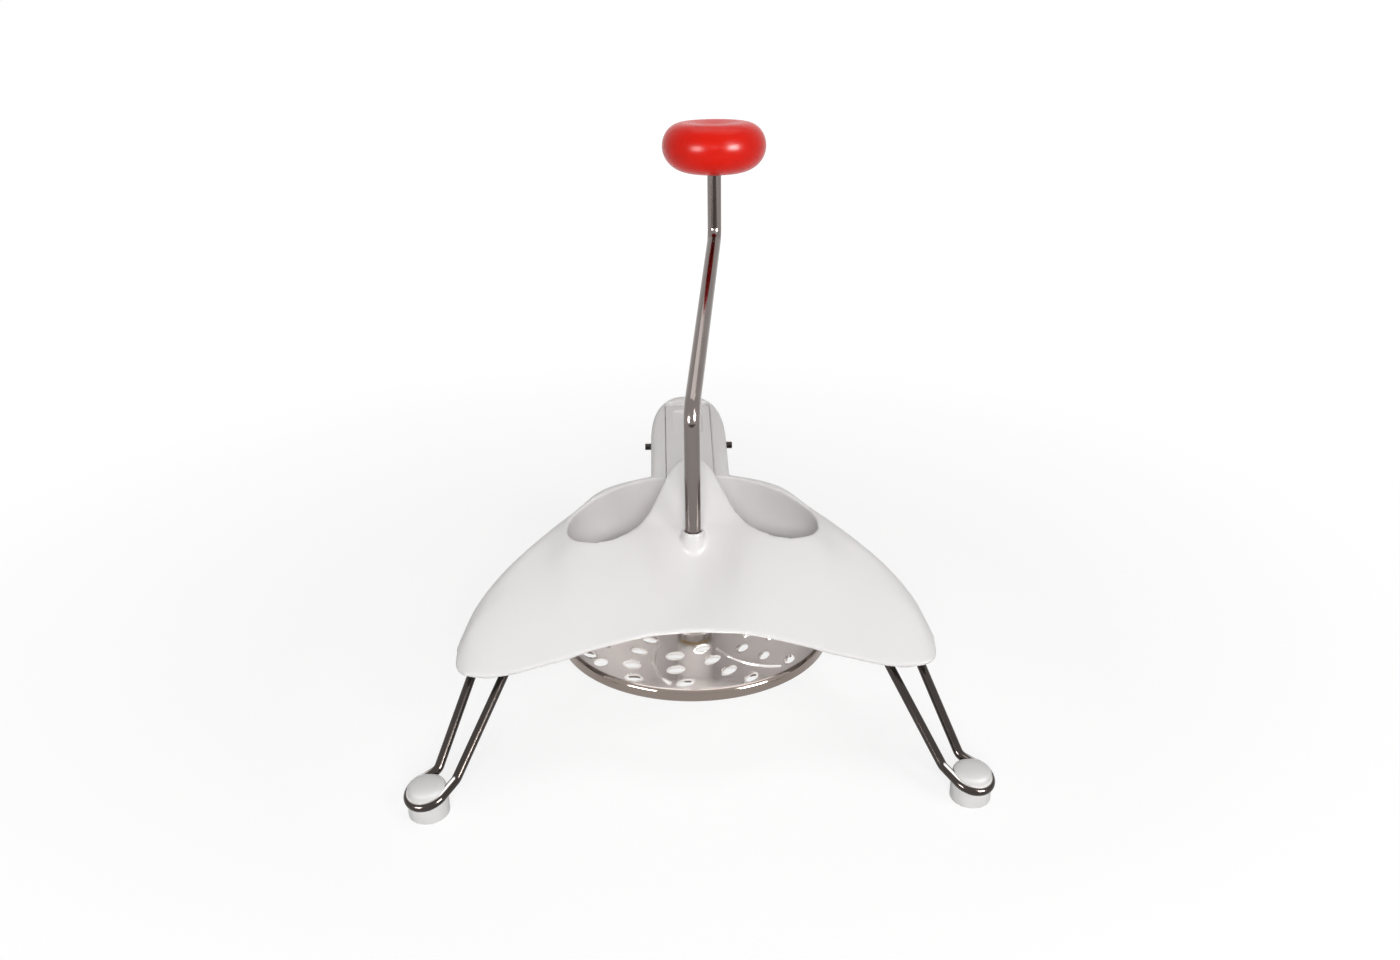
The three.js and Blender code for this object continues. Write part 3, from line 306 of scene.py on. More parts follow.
# %% Group of turning lines
turning_lines, inside, outside = new_group("turning_lines", {"Lines": 1400.0}, ("Line", "Reach"))
nodes = turning_lines.nodes
apart, flat, ring = put(nodes, "SeparateXYZ"), put(nodes, "CombineXYZ"), put(nodes, "CombineXYZ")
reach = put(nodes, "VectorMath", operation="LENGTH")
band = put(nodes, "TexNoise", {"Detail": 2})
link(inside, "Place", apart, 0)
link(apart, "X", flat, "X")
link(apart, "Y", flat, "Y")
link(flat, 0, reach, 0)
link(reach, "Value", ring, "X")
link(ring, 0, band, "Vector")
link(inside, "Lines", band, "Scale")
link(band, "Fac", outside, "Line")
link(reach, "Value", outside, "Reach")
print(turning_lines.name, "ready")

# %% [markdown]
# ## Finishes
# Each finish has a base colour that drifts a little between two near tones, a gloss that varies with the
# same cloud, and a very low bump from the grain. The numbers that stay the same all over sit on the
# shader itself, so the finish can be carried to another program. The rod and leg steels have a dark
# base colour, a painted dark reflection, darkest on the leg wires, whose upward faces have a painted
# highlight, since only those would catch the lamp above.


# %% How a finish is put together
def finish(name, dark, light, gloss, bump, cloud_scale, grain_scale, metal=0.0, squash=(1, 1, 1)):
    """A shader of two near tones, a range of roughness and a low bump."""
    paint = bpy.data.materials.new(name)
    paint.use_nodes = True
    nodes = paint.node_tree.nodes
    shader = nodes["Principled BSDF"]
    place, shift = put(nodes, "TexCoord"), put(nodes, "Mapping", {"Scale": squash})
    scales = {"Cloud Scale": cloud_scale, "Grain Scale": grain_scale}
    detail = put(nodes, "Group", scales, node_tree=cloud_grain)
    tone = put(nodes, "Mix", {"A": (*dark, 1), "B": (*light, 1)}, data_type="RGBA")
    reach = {"From Min": 0.3, "From Max": 0.7, "To Min": gloss[0], "To Max": gloss[1]}
    shine = put(nodes, "MapRange", reach)
    relief = put(nodes, "Bump", {"Strength": bump, "Distance": 0.0001})
    link(place, "Object", shift, "Vector")
    link(shift, 0, detail, "Place")
    link(detail, "Cloud", tone, "Factor")
    link(tone, "Result", shader, "Base Color")
    link(detail, "Cloud", shine, "Value")
    link(shine, 0, shader, "Roughness")
    link(detail, "Grain", relief, "Height")
    link(relief, 0, shader, "Normal")
    shader.inputs["Metallic"].default_value = metal
    return paint


def tint(nodes, mask, output, start, end, colour):
    """The base colour goes over to another one as a mask rises from start to end."""
    shader = nodes["Principled BSDF"]
    rise = put(nodes, "MapRange", {"From Min": start, "From Max": end})
    tone = put(nodes, "Mix", {"B": (*colour, 1)}, data_type="RGBA")
    link(mask, output, rise, "Value")
    link(rise, 0, tone, "Factor")
    link(shader.inputs["Base Color"].links[0].from_node, "Result", tone, "A")
    link(tone, "Result", shader, "Base Color")


print("finish helpers ready")

# %% Plastics and rubber
body_white = finish("body_white", (0.85, 0.825, 0.82), (0.88, 0.86, 0.855), (0.34, 0.42), 0.12, 16, 420)
lever_white = finish("lever_white", (0.84, 0.815, 0.81), (0.87, 0.85, 0.845), (0.32, 0.4), 0.12, 20, 420)
knob_paint = finish("knob_red", (0.82, 0.009, 0.002), (0.88, 0.013, 0.003), (0.24, 0.3), 0.05, 30, 500)
foot_white = finish("foot_white", (0.74, 0.73, 0.72), (0.8, 0.79, 0.785), (0.5, 0.62), 0.4, 60, 900)
bush_grey = finish("bush_grey", (0.6, 0.59, 0.57), (0.68, 0.67, 0.65), (0.4, 0.5), 0.2, 60, 1500)
for paint, level in ((body_white, 0.3), (lever_white, 0.3), (knob_paint, 0.16)):
    paint.node_tree.nodes["Principled BSDF"].inputs["Specular IOR Level"].default_value = level
print("finishes of the body, lever, knob, feet and bush")

# %% Steels and brass
# The rod and leg steels have dark base colours, a painted dark reflection of the studio, and the leg wires
# are painted darker than the rod.
rod_steel = finish(
    "rod_steel", (0.17, 0.145, 0.135), (0.23, 0.2, 0.19), (0.1, 0.17), 0.15, 60, 700,
    metal=1.0, squash=(1, 1, 0.12),
)
leg_steel = finish(
    "leg_steel", (0.04, 0.034, 0.031), (0.075, 0.064, 0.058), (0.1, 0.16), 0.15, 50, 700,
    metal=1.0, squash=(1, 1, 0.3),
)
nodes = leg_steel.node_tree.nodes
# The base colour turns pale where the normal points up: a painted highlight on the upward faces of the leg
# wires.
facing, upright = put(nodes, "TexCoord"), put(nodes, "SeparateXYZ")
link(facing, "Normal", upright, 0)
tint(nodes, upright, "Z", 0.87, 0.97, (0.8, 0.77, 0.75))
small_steel = finish(
    "small_steel", (0.46, 0.43, 0.41), (0.56, 0.53, 0.51), (0.2, 0.3), 0.2, 120, 1500, metal=1.0
)
washer_brass = finish(
    "washer_brass", (0.5, 0.33, 0.12), (0.6, 0.42, 0.17), (0.25, 0.4), 0.2, 150, 1500, metal=1.0
)
disc_steel = finish(
    "disc_steel", (0.86, 0.83, 0.81), (0.93, 0.905, 0.89), (0.04, 0.08), 0.1, 40, 900, metal=1.0
)
nodes = disc_steel.node_tree.nodes
lines = put(nodes, "Group", {"Lines": 1800}, node_tree=turning_lines)
nodes["Mapping"].inputs["Location"].default_value = -spot(0, 0, 0)
link(nodes["Mapping"], 0, lines, "Place")
link(lines, "Line", nodes["Bump"], "Height")
nodes["Bump"].inputs["Strength"].default_value = 0.3
print("finishes of the rod, legs, small metal, washer and disc")

# %% A duller, browner rim on the disc
rim_start, rim_end = 59.7 * MM, 60.4 * MM
tint(nodes, lines, "Reach", rim_start, rim_end, (0.27, 0.225, 0.2))
print("rim beyond", round(rim_start, 4), "m")


def dress(piece, sharper_than, body, paint, slot, *nodes_replaced):
    """The piece is smooth up to an angle, has its finish, rides with its body and replaces its solid."""
    only(piece)
    bpy.ops.object.shade_smooth_by_angle(angle=math.radians(sharper_than))
    piece.data.materials.clear()
    piece.data.materials.append(paint)
    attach(piece, body)
    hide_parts(*nodes_replaced)
    report(piece)


# %% [markdown]
# ## Body: the curved skin
# The body is one thin moulded skin like a saddle, wide from wing tip to wing tip.
# It could be sculpted, or built from a few loops with subdivision. A run of cross sections was chosen,
# because each section has a known front edge, ramp, crest and rear edge.
# A flat grid has one row of points for each section. The rows are moved to their sections, and
# Solidify then gives the sheet its real wall.

# %% Sections of the body, in shares of its half width, depth and height
wall = 2.5
body_half, body_depth, body_height = 101, 100, 88.5
section_shares = [
    [0, -0.42, 0.621, -0.13, 0.755, 0.1, 0.92, 0.49, 0.999, 0.555, 0.463],
    [0.11, -0.426, 0.617, -0.135, 0.787, 0.093, 0.931, 0.484, 0.997, 0.549, 0.463],
    [0.22, -0.435, 0.605, -0.15, 0.84, 0.08, 0.942, 0.475, 0.993, 0.54, 0.463],
    [0.42, -0.472, 0.568, -0.2, 0.83, 0, 0.945, 0.37, 0.974, 0.445, 0.463],
    [0.54, -0.505, 0.54, -0.26, 0.785, -0.07, 0.908, 0.19, 0.94, 0.27, 0.463],
    [0.63, -0.53, 0.528, -0.3, 0.742, -0.12, 0.86, 0.07, 0.911, 0.15, 0.49],
    [0.75, -0.565, 0.512, -0.37, 0.69, -0.21, 0.8, -0.08, 0.853, 0.01, 0.51],
    [0.85, -0.582, 0.508, -0.43, 0.643, -0.3, 0.735, -0.18, 0.775, -0.1, 0.52],
    [0.935, -0.575, 0.515, -0.47, 0.598, -0.38, 0.66, -0.28, 0.678, -0.21, 0.525],
    [0.98, -0.545, 0.515, -0.48, 0.56, -0.42, 0.588, -0.35, 0.592, -0.3, 0.53],
    [1, -0.5, 0.52, -0.47, 0.54, -0.44, 0.55, -0.41, 0.55, -0.38, 0.53],
]


def section_row(share):
    """The row of the table at a share of the half width, by smooth blending."""
    rows, row = section_shares, 0
    while row < len(rows) - 2 and rows[row + 1][0] < share:
        row += 1
    one, two, three = rows[max(row - 1, 0)], rows[row], rows[row + 1]
    four = rows[min(row + 2, len(rows) - 1)]
    span = three[0] - two[0]
    t = (share - two[0]) / span
    blended = []
    for k in range(1, len(two)):
        before = 0 if row == 0 else (three[k] - one[k]) / (three[0] - one[0]) * span
        last = row + 2 > len(rows) - 1
        after = three[k] - two[k] if last else (four[k] - two[k]) / (four[0] - two[0]) * span
        h1, h2 = 2 * t**3 - 3 * t**2 + 1, t**3 - 2 * t**2 + t
        h3, h4 = -2 * t**3 + 3 * t**2, t**3 - t**2
        blended.append(h1 * two[k] + h2 * before + h3 * three[k] + h4 * after)
    return blended


print("middle section", [round(v, 3) for v in section_row(0)])


# %% A smooth curve through the corners of a section
def spaced_curve(corners, steps):
    """A curve through corners, with steps points on each stretch, that doesn't overshoot."""
    points = [np.array(c, float) for c in corners]
    points = [2 * points[0] - points[1], *points, 2 * points[-1] - points[-2]]
    places = []
    for k in range(1, len(points) - 2):
        p0, p1, p2, p3 = points[k - 1 : k + 3]
        d0, d1, d2 = (max(np.linalg.norm(b - a), 1e-6) ** 0.5 for a, b in ((p0, p1), (p1, p2), (p2, p3)))
        t1 = ((p1 - p0) / d0 - (p2 - p0) / (d0 + d1) + (p2 - p1) / d1) * d1
        t2 = ((p2 - p1) / d1 - (p3 - p1) / (d1 + d2) + (p3 - p2) / d2) * d1
        for step in range(steps):
            t = step / steps
            places.append(
                p1 + t1 * t + (3 * (p2 - p1) - 2 * t1 - t2) * t**2 + (2 * (p1 - p2) + t1 + t2) * t**3
            )
    places.append(points[-2])
    return places


def section_curve(share, steps=12):
    """Front edge over the crest to the rear edge, as y and z in millimetres."""
    row = section_row(share)
    corners = [np.array((row[k] * body_depth, row[k + 1] * body_height)) for k in range(0, len(row), 2)]
    crest, rear = corners[3], corners[4]
    shoulder = crest + (rear - crest) * 0.22
    shoulder[0] += (rear[0] - crest[0]) * 0.55
    corners.insert(4, shoulder)
    return spaced_curve(corners, steps)


print(len(section_curve(0)), "points on a section")


# %% A grid whose rows are moved to their places
def sheet_through(name, rows, capped=False):
    """A sheet with a row of points for each row of places, and its open ends filled if asked."""
    count = len(rows[0])
    bpy.ops.mesh.primitive_grid_add(x_subdivisions=count - 1, y_subdivisions=len(rows) - 1, size=1)
    piece = named(name)
    places = np.array([p for row in rows for p in row], np.float32)
    piece.data.vertices.foreach_set("co", places.ravel())
    piece.data.update()
    open_edit()
    bpy.ops.mesh.remove_doubles(threshold=1e-6)
    if capped:
        bpy.ops.mesh.select_all(action="DESELECT")
        bpy.ops.mesh.select_non_manifold()
        bpy.ops.mesh.fill_holes(sides=0)
    close_edit()
    return piece


def station_shares(count):
    """Places across that close up toward the wing tips."""
    turn = math.radians(77.4)
    return [math.sin(turn * (2 * k / count - 1)) / math.sin(turn) for k in range(count + 1)]


skin_rows = []
for share in station_shares(110):
    skin_rows.append([spot(share * body_half, y, z) for y, z in section_curve(abs(share))])
skin = sheet_through("body_skin", skin_rows)
report(skin)

# %% [markdown]
# ## Body: what lies under the skin
# Walls, ears and the boss all stop at the skin. A solid that fills the space beneath the skin trims them.
# It is the same sheet with its border drawn straight down and closed.


# %% Modifiers that are applied at once
def apply_modifier(piece, kind, **settings):
    only(piece)
    added = piece.modifiers.new(kind.lower(), kind)
    for key, value in settings.items():
        setattr(added, key, value)
    bpy.ops.object.modifier_apply(modifier=added.name)


def round_edges(piece, width, steps, sharper_than):
    """Rounds the edges that turn by more than an angle in degrees."""
    limit = math.radians(sharper_than)
    apply_modifier(piece, "BEVEL", width=width * MM, segments=steps, limit_method="ANGLE", angle_limit=limit)


def combine(piece, other, operation, keep=False, solver="EXACT"):
    """Cuts, joins or trims a piece with another, which is then removed unless it is kept."""
    apply_modifier(piece, "BOOLEAN", object=other, operation=operation, solver=solver)
    if not keep:
        bpy.data.objects.remove(other)
    return piece


def joined(pieces, name):
    only(*pieces)
    bpy.ops.object.join()
    return named(name)


def copy_of(piece, name):
    twin = piece.copy()
    twin.data = piece.data.copy()
    twin.name = name
    bpy.context.scene.collection.objects.link(twin)
    return twin


under = copy_of(skin, "under_skin")
only(under)
bpy.ops.object.mode_set(mode="EDIT")
bpy.ops.mesh.select_all(action="DESELECT")
bpy.ops.mesh.select_non_manifold()
bpy.ops.mesh.extrude_edges_move(TRANSFORM_OT_translate={"value": (0, 0, -60 * MM)})
bpy.ops.transform.resize(value=(1, 1, 0), center_override=(0, 0, 5 * MM))
bpy.ops.mesh.edge_face_add()
close_edit()
report(under)
apply_modifier(skin, "SOLIDIFY", thickness=wall * MM, offset=-1, use_even_offset=False, use_rim=True)
report(skin)

# %% [markdown]
# ## Body: the hopper
# Food goes in through one wide opening behind the shaft, shaped like a pair of wings.
# A wall follows the opening down to just above the disc. Its outline is drawn once as a loop of points,
# filled and extruded upward. A second, smaller outline cuts the inside away.

# %% Outline of the opening
hopper_shares = [
    [0, 0.108], [0.09, 0.102], [0.17, 0.08], [0.285, 0], [0.36, -0.052], [0.43, -0.071], [0.5, -0.058],
    [0.545, -0.012], [0.553, 0.05], [0.538, 0.12], [0.495, 0.2], [0.42, 0.287], [0.3, 0.387],
    [0.17, 0.446], [0, 0.45],
]


def even_curve(corners, count):
    """A plain smooth curve through flat corners, in count steps."""
    points = [np.array(c, float) for c in corners]
    places = []
    for step in range(count + 1):
        p = (len(points) - 1) * step / count
        k = min(int(p), len(points) - 2)
        t = p - k
        p0, p1 = points[max(k - 1, 0)], points[k]
        p2, p3 = points[k + 1], points[min(k + 2, len(points) - 1)]
        v0, v1 = (p2 - p0) / 2, (p3 - p1) / 2
        cubic, square = 2 * p1 - 2 * p2 + v0 + v1, 3 * p2 - 3 * p1 - 2 * v0 - v1
        places.append(cubic * t**3 + square * t**2 + v0 * t + p1)
    return places


def full_size(shares, half_width=body_half):
    """Shares of a half width and of the body's depth, in millimetres."""
    return [(x * half_width, y * body_depth) for x, y in shares]


def mirrored_outline(half):
    """A half outline with its mirror image, as one loop."""
    return [*half, *[(-x, y) for x, y in reversed(half) if x > 1e-6]]


def grown_outline(outline, amount):
    """The same loop moved outward by an amount."""
    count, moved = len(outline), []
    for k in range(count):
        here, before, after = (np.array(outline[j % count], float) for j in (k, k - 1, k + 1))
        first = (here - before) / np.linalg.norm(here - before)
        second = (after - here) / np.linalg.norm(after - here)
        total = (first + second) / np.linalg.norm(first + second)
        stretch = 1 / max(total @ first, 0.5)
        moved.append((here[0] + total[1] * amount * stretch, here[1] - total[0] * amount * stretch))
    return moved


half = [(max(x, 0), y) for x, y in even_curve(full_size(hopper_shares), 60)]
half[0], half[-1] = (0, half[0][1]), (0, half[-1][1])
hopper_outline = mirrored_outline(half)
print("opening", len(hopper_outline), "points")


# %% Upright slabs on an outline
def slab(name, outline, bottom, top):
    """An outline of x and y in millimetres, filled and extruded up."""
    bpy.ops.mesh.primitive_circle_add(vertices=len(outline), radius=0.01, fill_type="NGON")
    piece = named(name)
    for vert, (x, y) in zip(piece.data.vertices, outline):
        vert.co = spot(x, y, bottom)
    open_edit()
    bpy.ops.mesh.extrude_region_move(TRANSFORM_OT_translate={"value": (0, 0, (top - bottom) * MM)})
    close_edit()
    return piece


hopper_floor, hopper_top = 41.2, 115.5
hopper_wall = slab("hopper_wall", grown_outline(hopper_outline, wall), hopper_floor, hopper_top)
hopper_hole = slab("hopper_hole", hopper_outline, 0, hopper_top)
combine(hopper_wall, under, "INTERSECT", keep=True)
combine(hopper_wall, hopper_hole, "DIFFERENCE", keep=True)
combine(skin, hopper_hole, "DIFFERENCE", keep=True)
report(hopper_wall)
report(skin)

# %% [markdown]
# ## Body: the sloping wall behind the shaft
# In the middle the skin sweeps up into a bell-shaped tongue that leans over the hopper.
# It is run through a row of small closed sections, higher in the middle and lower at the sides.


# %% The tongue
def skin_height(x, y):
    curve = section_curve(abs(x) / body_half)
    for (y0, z0), (y1, z1) in zip(curve, curve[1:]):
        if y0 <= y <= y1:
            return z0 + (z1 - z0) * (y - y0) / (y1 - y0)
    return body_height


tongue_half, tongue_base, tongue_rise, tongue_spread, tongue_power = 29, 81.7, 24, 15.8, 2.6
leaf, tongue_root, crease_reach = 2.6, 7, 8
tongue_rim_shares = [
    [0, 0.295], [0.14, 0.293], [0.27, 0.283], [0.37, 0.268], [0.48, 0.225], [0.59, 0.172],
    [0.72, 0.108], [0.86, 0.05], [1, 0.002],
]
rim = even_curve(full_size(tongue_rim_shares, tongue_half), 30)
tongue_rings = []
for x, y in rim:
    side = min(x / tongue_half, 1)
    crease_y = crease_reach * (1 - side * side) - leaf * side**6
    crease_z = skin_height(x, crease_y)
    rim_z = max(tongue_base + tongue_rise * math.exp(-((x / tongue_spread) ** tongue_power)), crease_z)
    rim_y = max(y, crease_y + leaf)
    run = np.array((rim_y - crease_y, rim_z - crease_z))
    run = run / np.linalg.norm(run)
    back_y, back_z = run[1] * leaf, run[0] * leaf
    section = [
        (crease_y, crease_z - tongue_root),
        (crease_y + leaf * 1.1, crease_z - tongue_root),
        (crease_y + leaf * 1.2, crease_z - back_z * 0.9),
        (rim_y + back_y * 0.7, rim_z - back_z * 0.7),
        (rim_y + back_y * 0.2, rim_z),
        (rim_y - run[0] * leaf * 0.3, rim_z - run[1] * leaf * 0.3),
        (crease_y, crease_z),
        (crease_y, crease_z - tongue_root),
    ]
    tongue_rings.append((x, section))
whole = [(-x, ring) for x, ring in reversed(tongue_rings[1:])] + tongue_rings
tongue = sheet_through("tongue", [[spot(x, y, z) for y, z in ring] for x, ring in whole], capped=True)
report(tongue)

# %% [markdown]
# ## Body: boss, nub and ears
# The shaft comes out through a small cone on the front slope. Beneath it a thick boss holds the bush.
# Two thin ears hang under each wing and carry the bent ends of a front leg.


# %% Posts, cones and boxes as starts
def post(name, radius, bottom, top, top_radius=None, x=0.0, y=0.0, sides=64):
    bpy.ops.mesh.primitive_cone_add(
        vertices=sides, radius1=radius * MM, radius2=(radius if top_radius is None else top_radius) * MM,
        depth=(top - bottom) * MM, location=spot(x, y, (top + bottom) / 2),
    )
    return settled(name)


def cross_post(name, radius, from_x, to_x, y, z, sides=48):
    bpy.ops.mesh.primitive_cylinder_add(
        vertices=sides, radius=radius * MM, depth=abs(to_x - from_x) * MM,
        location=spot((from_x + to_x) / 2, y, z), rotation=(0, math.pi / 2, 0),
    )
    return settled(name)


def box(name, low, high):
    middle_place = spot(*[(a + b) / 2 for a, b in zip(low, high)])
    size = [(b - a) * MM for a, b in zip(low, high)]
    bpy.ops.mesh.primitive_cube_add(size=1, location=middle_place, scale=size)
    return settled(name)


boss_radius, boss_bottom = 8.2, 50.4
nub_radius, nub_tip_radius, nub_bottom, nub_top = 5.7, 4.9, 68.2, 82.2
boss = combine(post("boss", boss_radius, boss_bottom, nub_top), under, "INTERSECT", keep=True)
nub = post("nub", nub_radius, nub_bottom, nub_top, top_radius=nub_tip_radius)
wire_bend, end_run, front_pivot, near_x, far_x = 2.7, 5, (-33, 51), 73.8, 89.4
ear_half, ear_reach, ear_bottom, near_gap, far_gap = 1.5, 4.5, 46.1, 0.4, 1.4
near_ear = near_x - wire_bend - near_gap - ear_half
far_ear = far_x + wire_bend + far_gap + ear_half
ear_parts = []
for side in (-1, 1):
    for x in (near_ear, far_ear):
        low = (side * x - ear_half, front_pivot[0] - ear_reach, ear_bottom)
        high = (side * x + ear_half, front_pivot[0] + ear_reach, body_height)
        ear = box(f"ear_{side}_{x:.0f}", low, high)
        ear_parts.append(combine(ear, under, "INTERSECT", keep=True))
for ear in ear_parts:
    report(ear)

# %% [markdown]
# ## Body: the handle
# A thick handle leaves the back of the hopper and rises gently to a round end.
# It starts as a filled outline of a strip with a long round end, extruded to its depth.
# A bevel rounds its rims, and it is then tilted onto its slope.

# %% The handle on its slope
handle_half, handle_root_y, handle_end_y, handle_root_top, handle_depth = 19, 46, 119, 89, 20
slope_rise, handle_bury, handle_round = 0.236, 8, 3.2
slope = math.atan(slope_rise)
handle_length = (handle_end_y - handle_root_y) / math.cos(slope) + handle_bury
end_length, end_fullness = 40, 0.8
straight_end = handle_length - handle_bury - end_length


def round_end(half_width, start, rise, count):
    """Points round a full end, from the right to the left."""
    points = []
    for k in range(count + 1):
        a = math.pi * k / count
        across = math.copysign(abs(math.cos(a)) ** end_fullness, math.cos(a))
        points.append((across * half_width, start + math.sin(a) ** end_fullness * rise))
    return points


def onto_slope(piece):
    """Tilts a piece drawn at the handle's root onto the handle's slope."""
    tilt = Matrix.Translation(spot(0, handle_root_y, handle_root_top)) @ Matrix.Rotation(slope, 4, "X")
    piece.data.transform(tilt @ Matrix.Translation(-spot(0, 0, 0)))
    return piece


outline = [(-handle_half, -handle_bury), (handle_half, -handle_bury)]
outline += round_end(handle_half, straight_end, end_length, 48)
handle = slab("handle", outline, -handle_depth, 0)
round_edges(handle, handle_round, 6, 60)
onto_slope(handle)
combine(handle, hopper_hole, "DIFFERENCE", keep=True)
report(handle)

# %% Everything in one skin
housing = joined([skin, hopper_wall, tongue, boss, nub, handle, *ear_parts], "slicer_body")
first_voxel, last_voxel, most_triangles = 0.8, 0.7, 185000
apply_modifier(housing, "REMESH", mode="VOXEL", voxel_size=first_voxel * MM, adaptivity=0)
report(housing)

# %% [markdown]
# ## Body: channel, slots and bores
# The presser lever lies in a channel along the handle, with a round pocket at its hinge.
# Slots beneath take the rear wires. Bores take the shaft, the bush, the hinge pin and the wire ends.
# Each is cut with a plain solid of its own size, after the body has become one skin.

# %% Cutters
turning_gap, margin = 0.4, 4
lever_half, channel_half, lever_thickness, lever_front_y = 11.34, 11.5, 11.6, 36.5
hinge_y, knuckle_radius = 106.5, 7
hinge_z = handle_root_top + (hinge_y - handle_root_y) * slope_rise - knuckle_radius / math.cos(slope)


def slope_length(y):
    return (y - handle_root_y) / math.cos(slope)


hinge_along = slope_length(hinge_y) - knuckle_radius * math.tan(slope)


def slope_box(name, low, high):
    return onto_slope(box(name, low, high))


def arched(name, half_width, end_y):
    """A tall slab from the front of the lever to an arched end."""
    rise, front_y, bottom, top = 6.5, 20, 50, 130
    loop = [(-half_width, front_y), (half_width, front_y)]
    return slab(name, loop + round_end(half_width, end_y - rise, rise, 32), bottom, top)


hinge = (hinge_y, hinge_z)
pocket_radius = knuckle_radius + turning_gap
pocket = cross_post("knuckle_pocket", pocket_radius, -channel_half, channel_half, *hinge, 64)
mouth = slope_box(
    "knuckle_mouth",
    (-channel_half, hinge_along, -knuckle_radius),
    (channel_half, hinge_along + pocket_radius, margin),
)
combine(pocket, mouth, "UNION")
lever_end_y = hinge_y + knuckle_radius
combine(pocket, arched("pocket_arch", channel_half, lever_end_y + turning_gap), "INTERSECT")
pin_bore_radius, pin_half, wire_bore_radius, stub = 2.3, 14.3, 2.4, 5.3
bush_bore_radius, bush_bore_top, shaft_bore_radius, below_boss, above_nub = 5.8, 67, 3.9, 38, 90
channel_start = slope_length(lever_front_y) - margin
cutters = [
    pocket,
    slope_box(
        "channel",
        (-channel_half, channel_start, -lever_thickness - turning_gap),
        (channel_half, slope_length(hinge_y), margin),
    ),
    cross_post("hinge_bore", pin_bore_radius, -pin_half, pin_half, *hinge),
    post("bush_bore", bush_bore_radius, below_boss, bush_bore_top),
    post("shaft_bore", shaft_bore_radius, below_boss, above_nub),
]
rear_x, rear_y, rear_z, slot_half = 15.2, 82, 91, 2.4
slot_front, slot_back, slot_bottom, slot_neck, neck_z, overlap = 9, 11.4, 67, 4.8, rear_z - 4.8, 0.3
for side in (-1, 1):
    low, high = side * rear_x - slot_half, side * rear_x + slot_half
    front, back = rear_y - slot_neck, rear_y + slot_neck
    cutters += [
        cross_post(f"slot_end_{side}", slot_half, low, high, rear_y, rear_z),
        box(f"slot_low_{side}", (low, rear_y - slot_front, slot_bottom), (high, rear_y + slot_back, neck_z)),
        box(f"slot_high_{side}", (low, front, neck_z - overlap), (high, back, rear_z)),
    ]
    ends = sorted((side * rear_x, side * (handle_half + margin)))
    cutters.append(cross_post(f"rear_bore_{side}", wire_bore_radius, *ends, rear_y, rear_z))
    inward, outward = near_x - wire_bend - stub, far_x + wire_bend + stub
    for one, two in ((far_ear - 2 * ear_half, outward), (inward, near_ear + 2 * ear_half)):
        ends = sorted((side * one, side * two))
        name = f"ear_bore_{side}_{one:.0f}"
        cutters.append(cross_post(name, wire_bore_radius, *ends, *front_pivot))
for cutter in cutters[1:]:
    combine(cutters[0], cutter, "UNION", solver="MANIFOLD")
combine(housing, cutters[0], "DIFFERENCE", solver="MANIFOLD")
for spare in (under, hopper_hole):
    bpy.data.objects.remove(spare)
report(housing)

# %% Soft edges all over
apply_modifier(housing, "REMESH", mode="VOXEL", voxel_size=last_voxel * MM, adaptivity=0)
apply_modifier(housing, "SMOOTH", factor=0.5, iterations=7)
apply_modifier(housing, "DECIMATE", ratio=min(1, most_triangles / triangles(housing)))
dress(housing, 180, "body", body_white, "body_plastic", "housing")

# %% [markdown]
# ## Knob
# The knob is one glossy red turning: a thick cushion with a shallow soft dish on top, closed by a cap.
# It could be a squashed sphere, but its dish and its fuller shoulders need a drawn profile.
# The profile is a loop of points that the spin operator carries round the spindle. The cap fills the
# middle of the dish with a seam too fine to see.


# %% Turned pieces
def turned(name, profile, x=0.0, y=0.0, steps=96):
    """A closed loop of radius and height in millimetres, spun round an upright axis."""
    bpy.ops.mesh.primitive_circle_add(vertices=len(profile), radius=0.01, fill_type="NOTHING")
    piece = named(name)
    for vert, (radius, height) in zip(piece.data.vertices, profile):
        vert.co = spot(x + radius, y, height)
    open_edit()
    bpy.ops.mesh.spin(steps=steps, angle=math.tau, center=spot(x, y, 0), axis=(0, 0, 1))
    bpy.ops.mesh.select_all(action="SELECT")
    bpy.ops.mesh.remove_doubles(threshold=2e-6)
    close_edit()
    return piece


def arc(centre_r, centre_z, radius, start, end, count):
    """Points on a round arc of a profile, from one angle to another in degrees."""
    points = []
    for k in range(count + 1):
        a = math.radians(start + (end - start) * k / count)
        points.append((centre_r + math.cos(a) * radius, centre_z + math.sin(a) * radius))
    return points


print("turning helpers ready")

# %% The red knob and its cap
crank_reach, spindle_x = 123.7, 15.5
spindle_y = math.sqrt(crank_reach**2 - spindle_x**2)
knob_top, knob_bottom, knob_radius, dish_radius = 245.2, 220.2, 25.8, 15.5
knob_lip, dish_depth, cap_drop = 0.6, 1.7, 13.2
knob_middle = (knob_top + knob_bottom) / 2 + knob_lip
seat_radius, seat_floor, bore_radius, step_radius, step_z = 12.6, knob_top - 5.2, 3.9, 7.3, 232.7


def dish(radius):
    """Height of the soft dish at a radius, flush with the shoulder at its rim."""
    depth_share = (0.5 + 0.5 * math.cos(math.pi * min(radius / dish_radius, 1))) ** 0.8
    return knob_top - knob_lip - dish_depth * depth_share


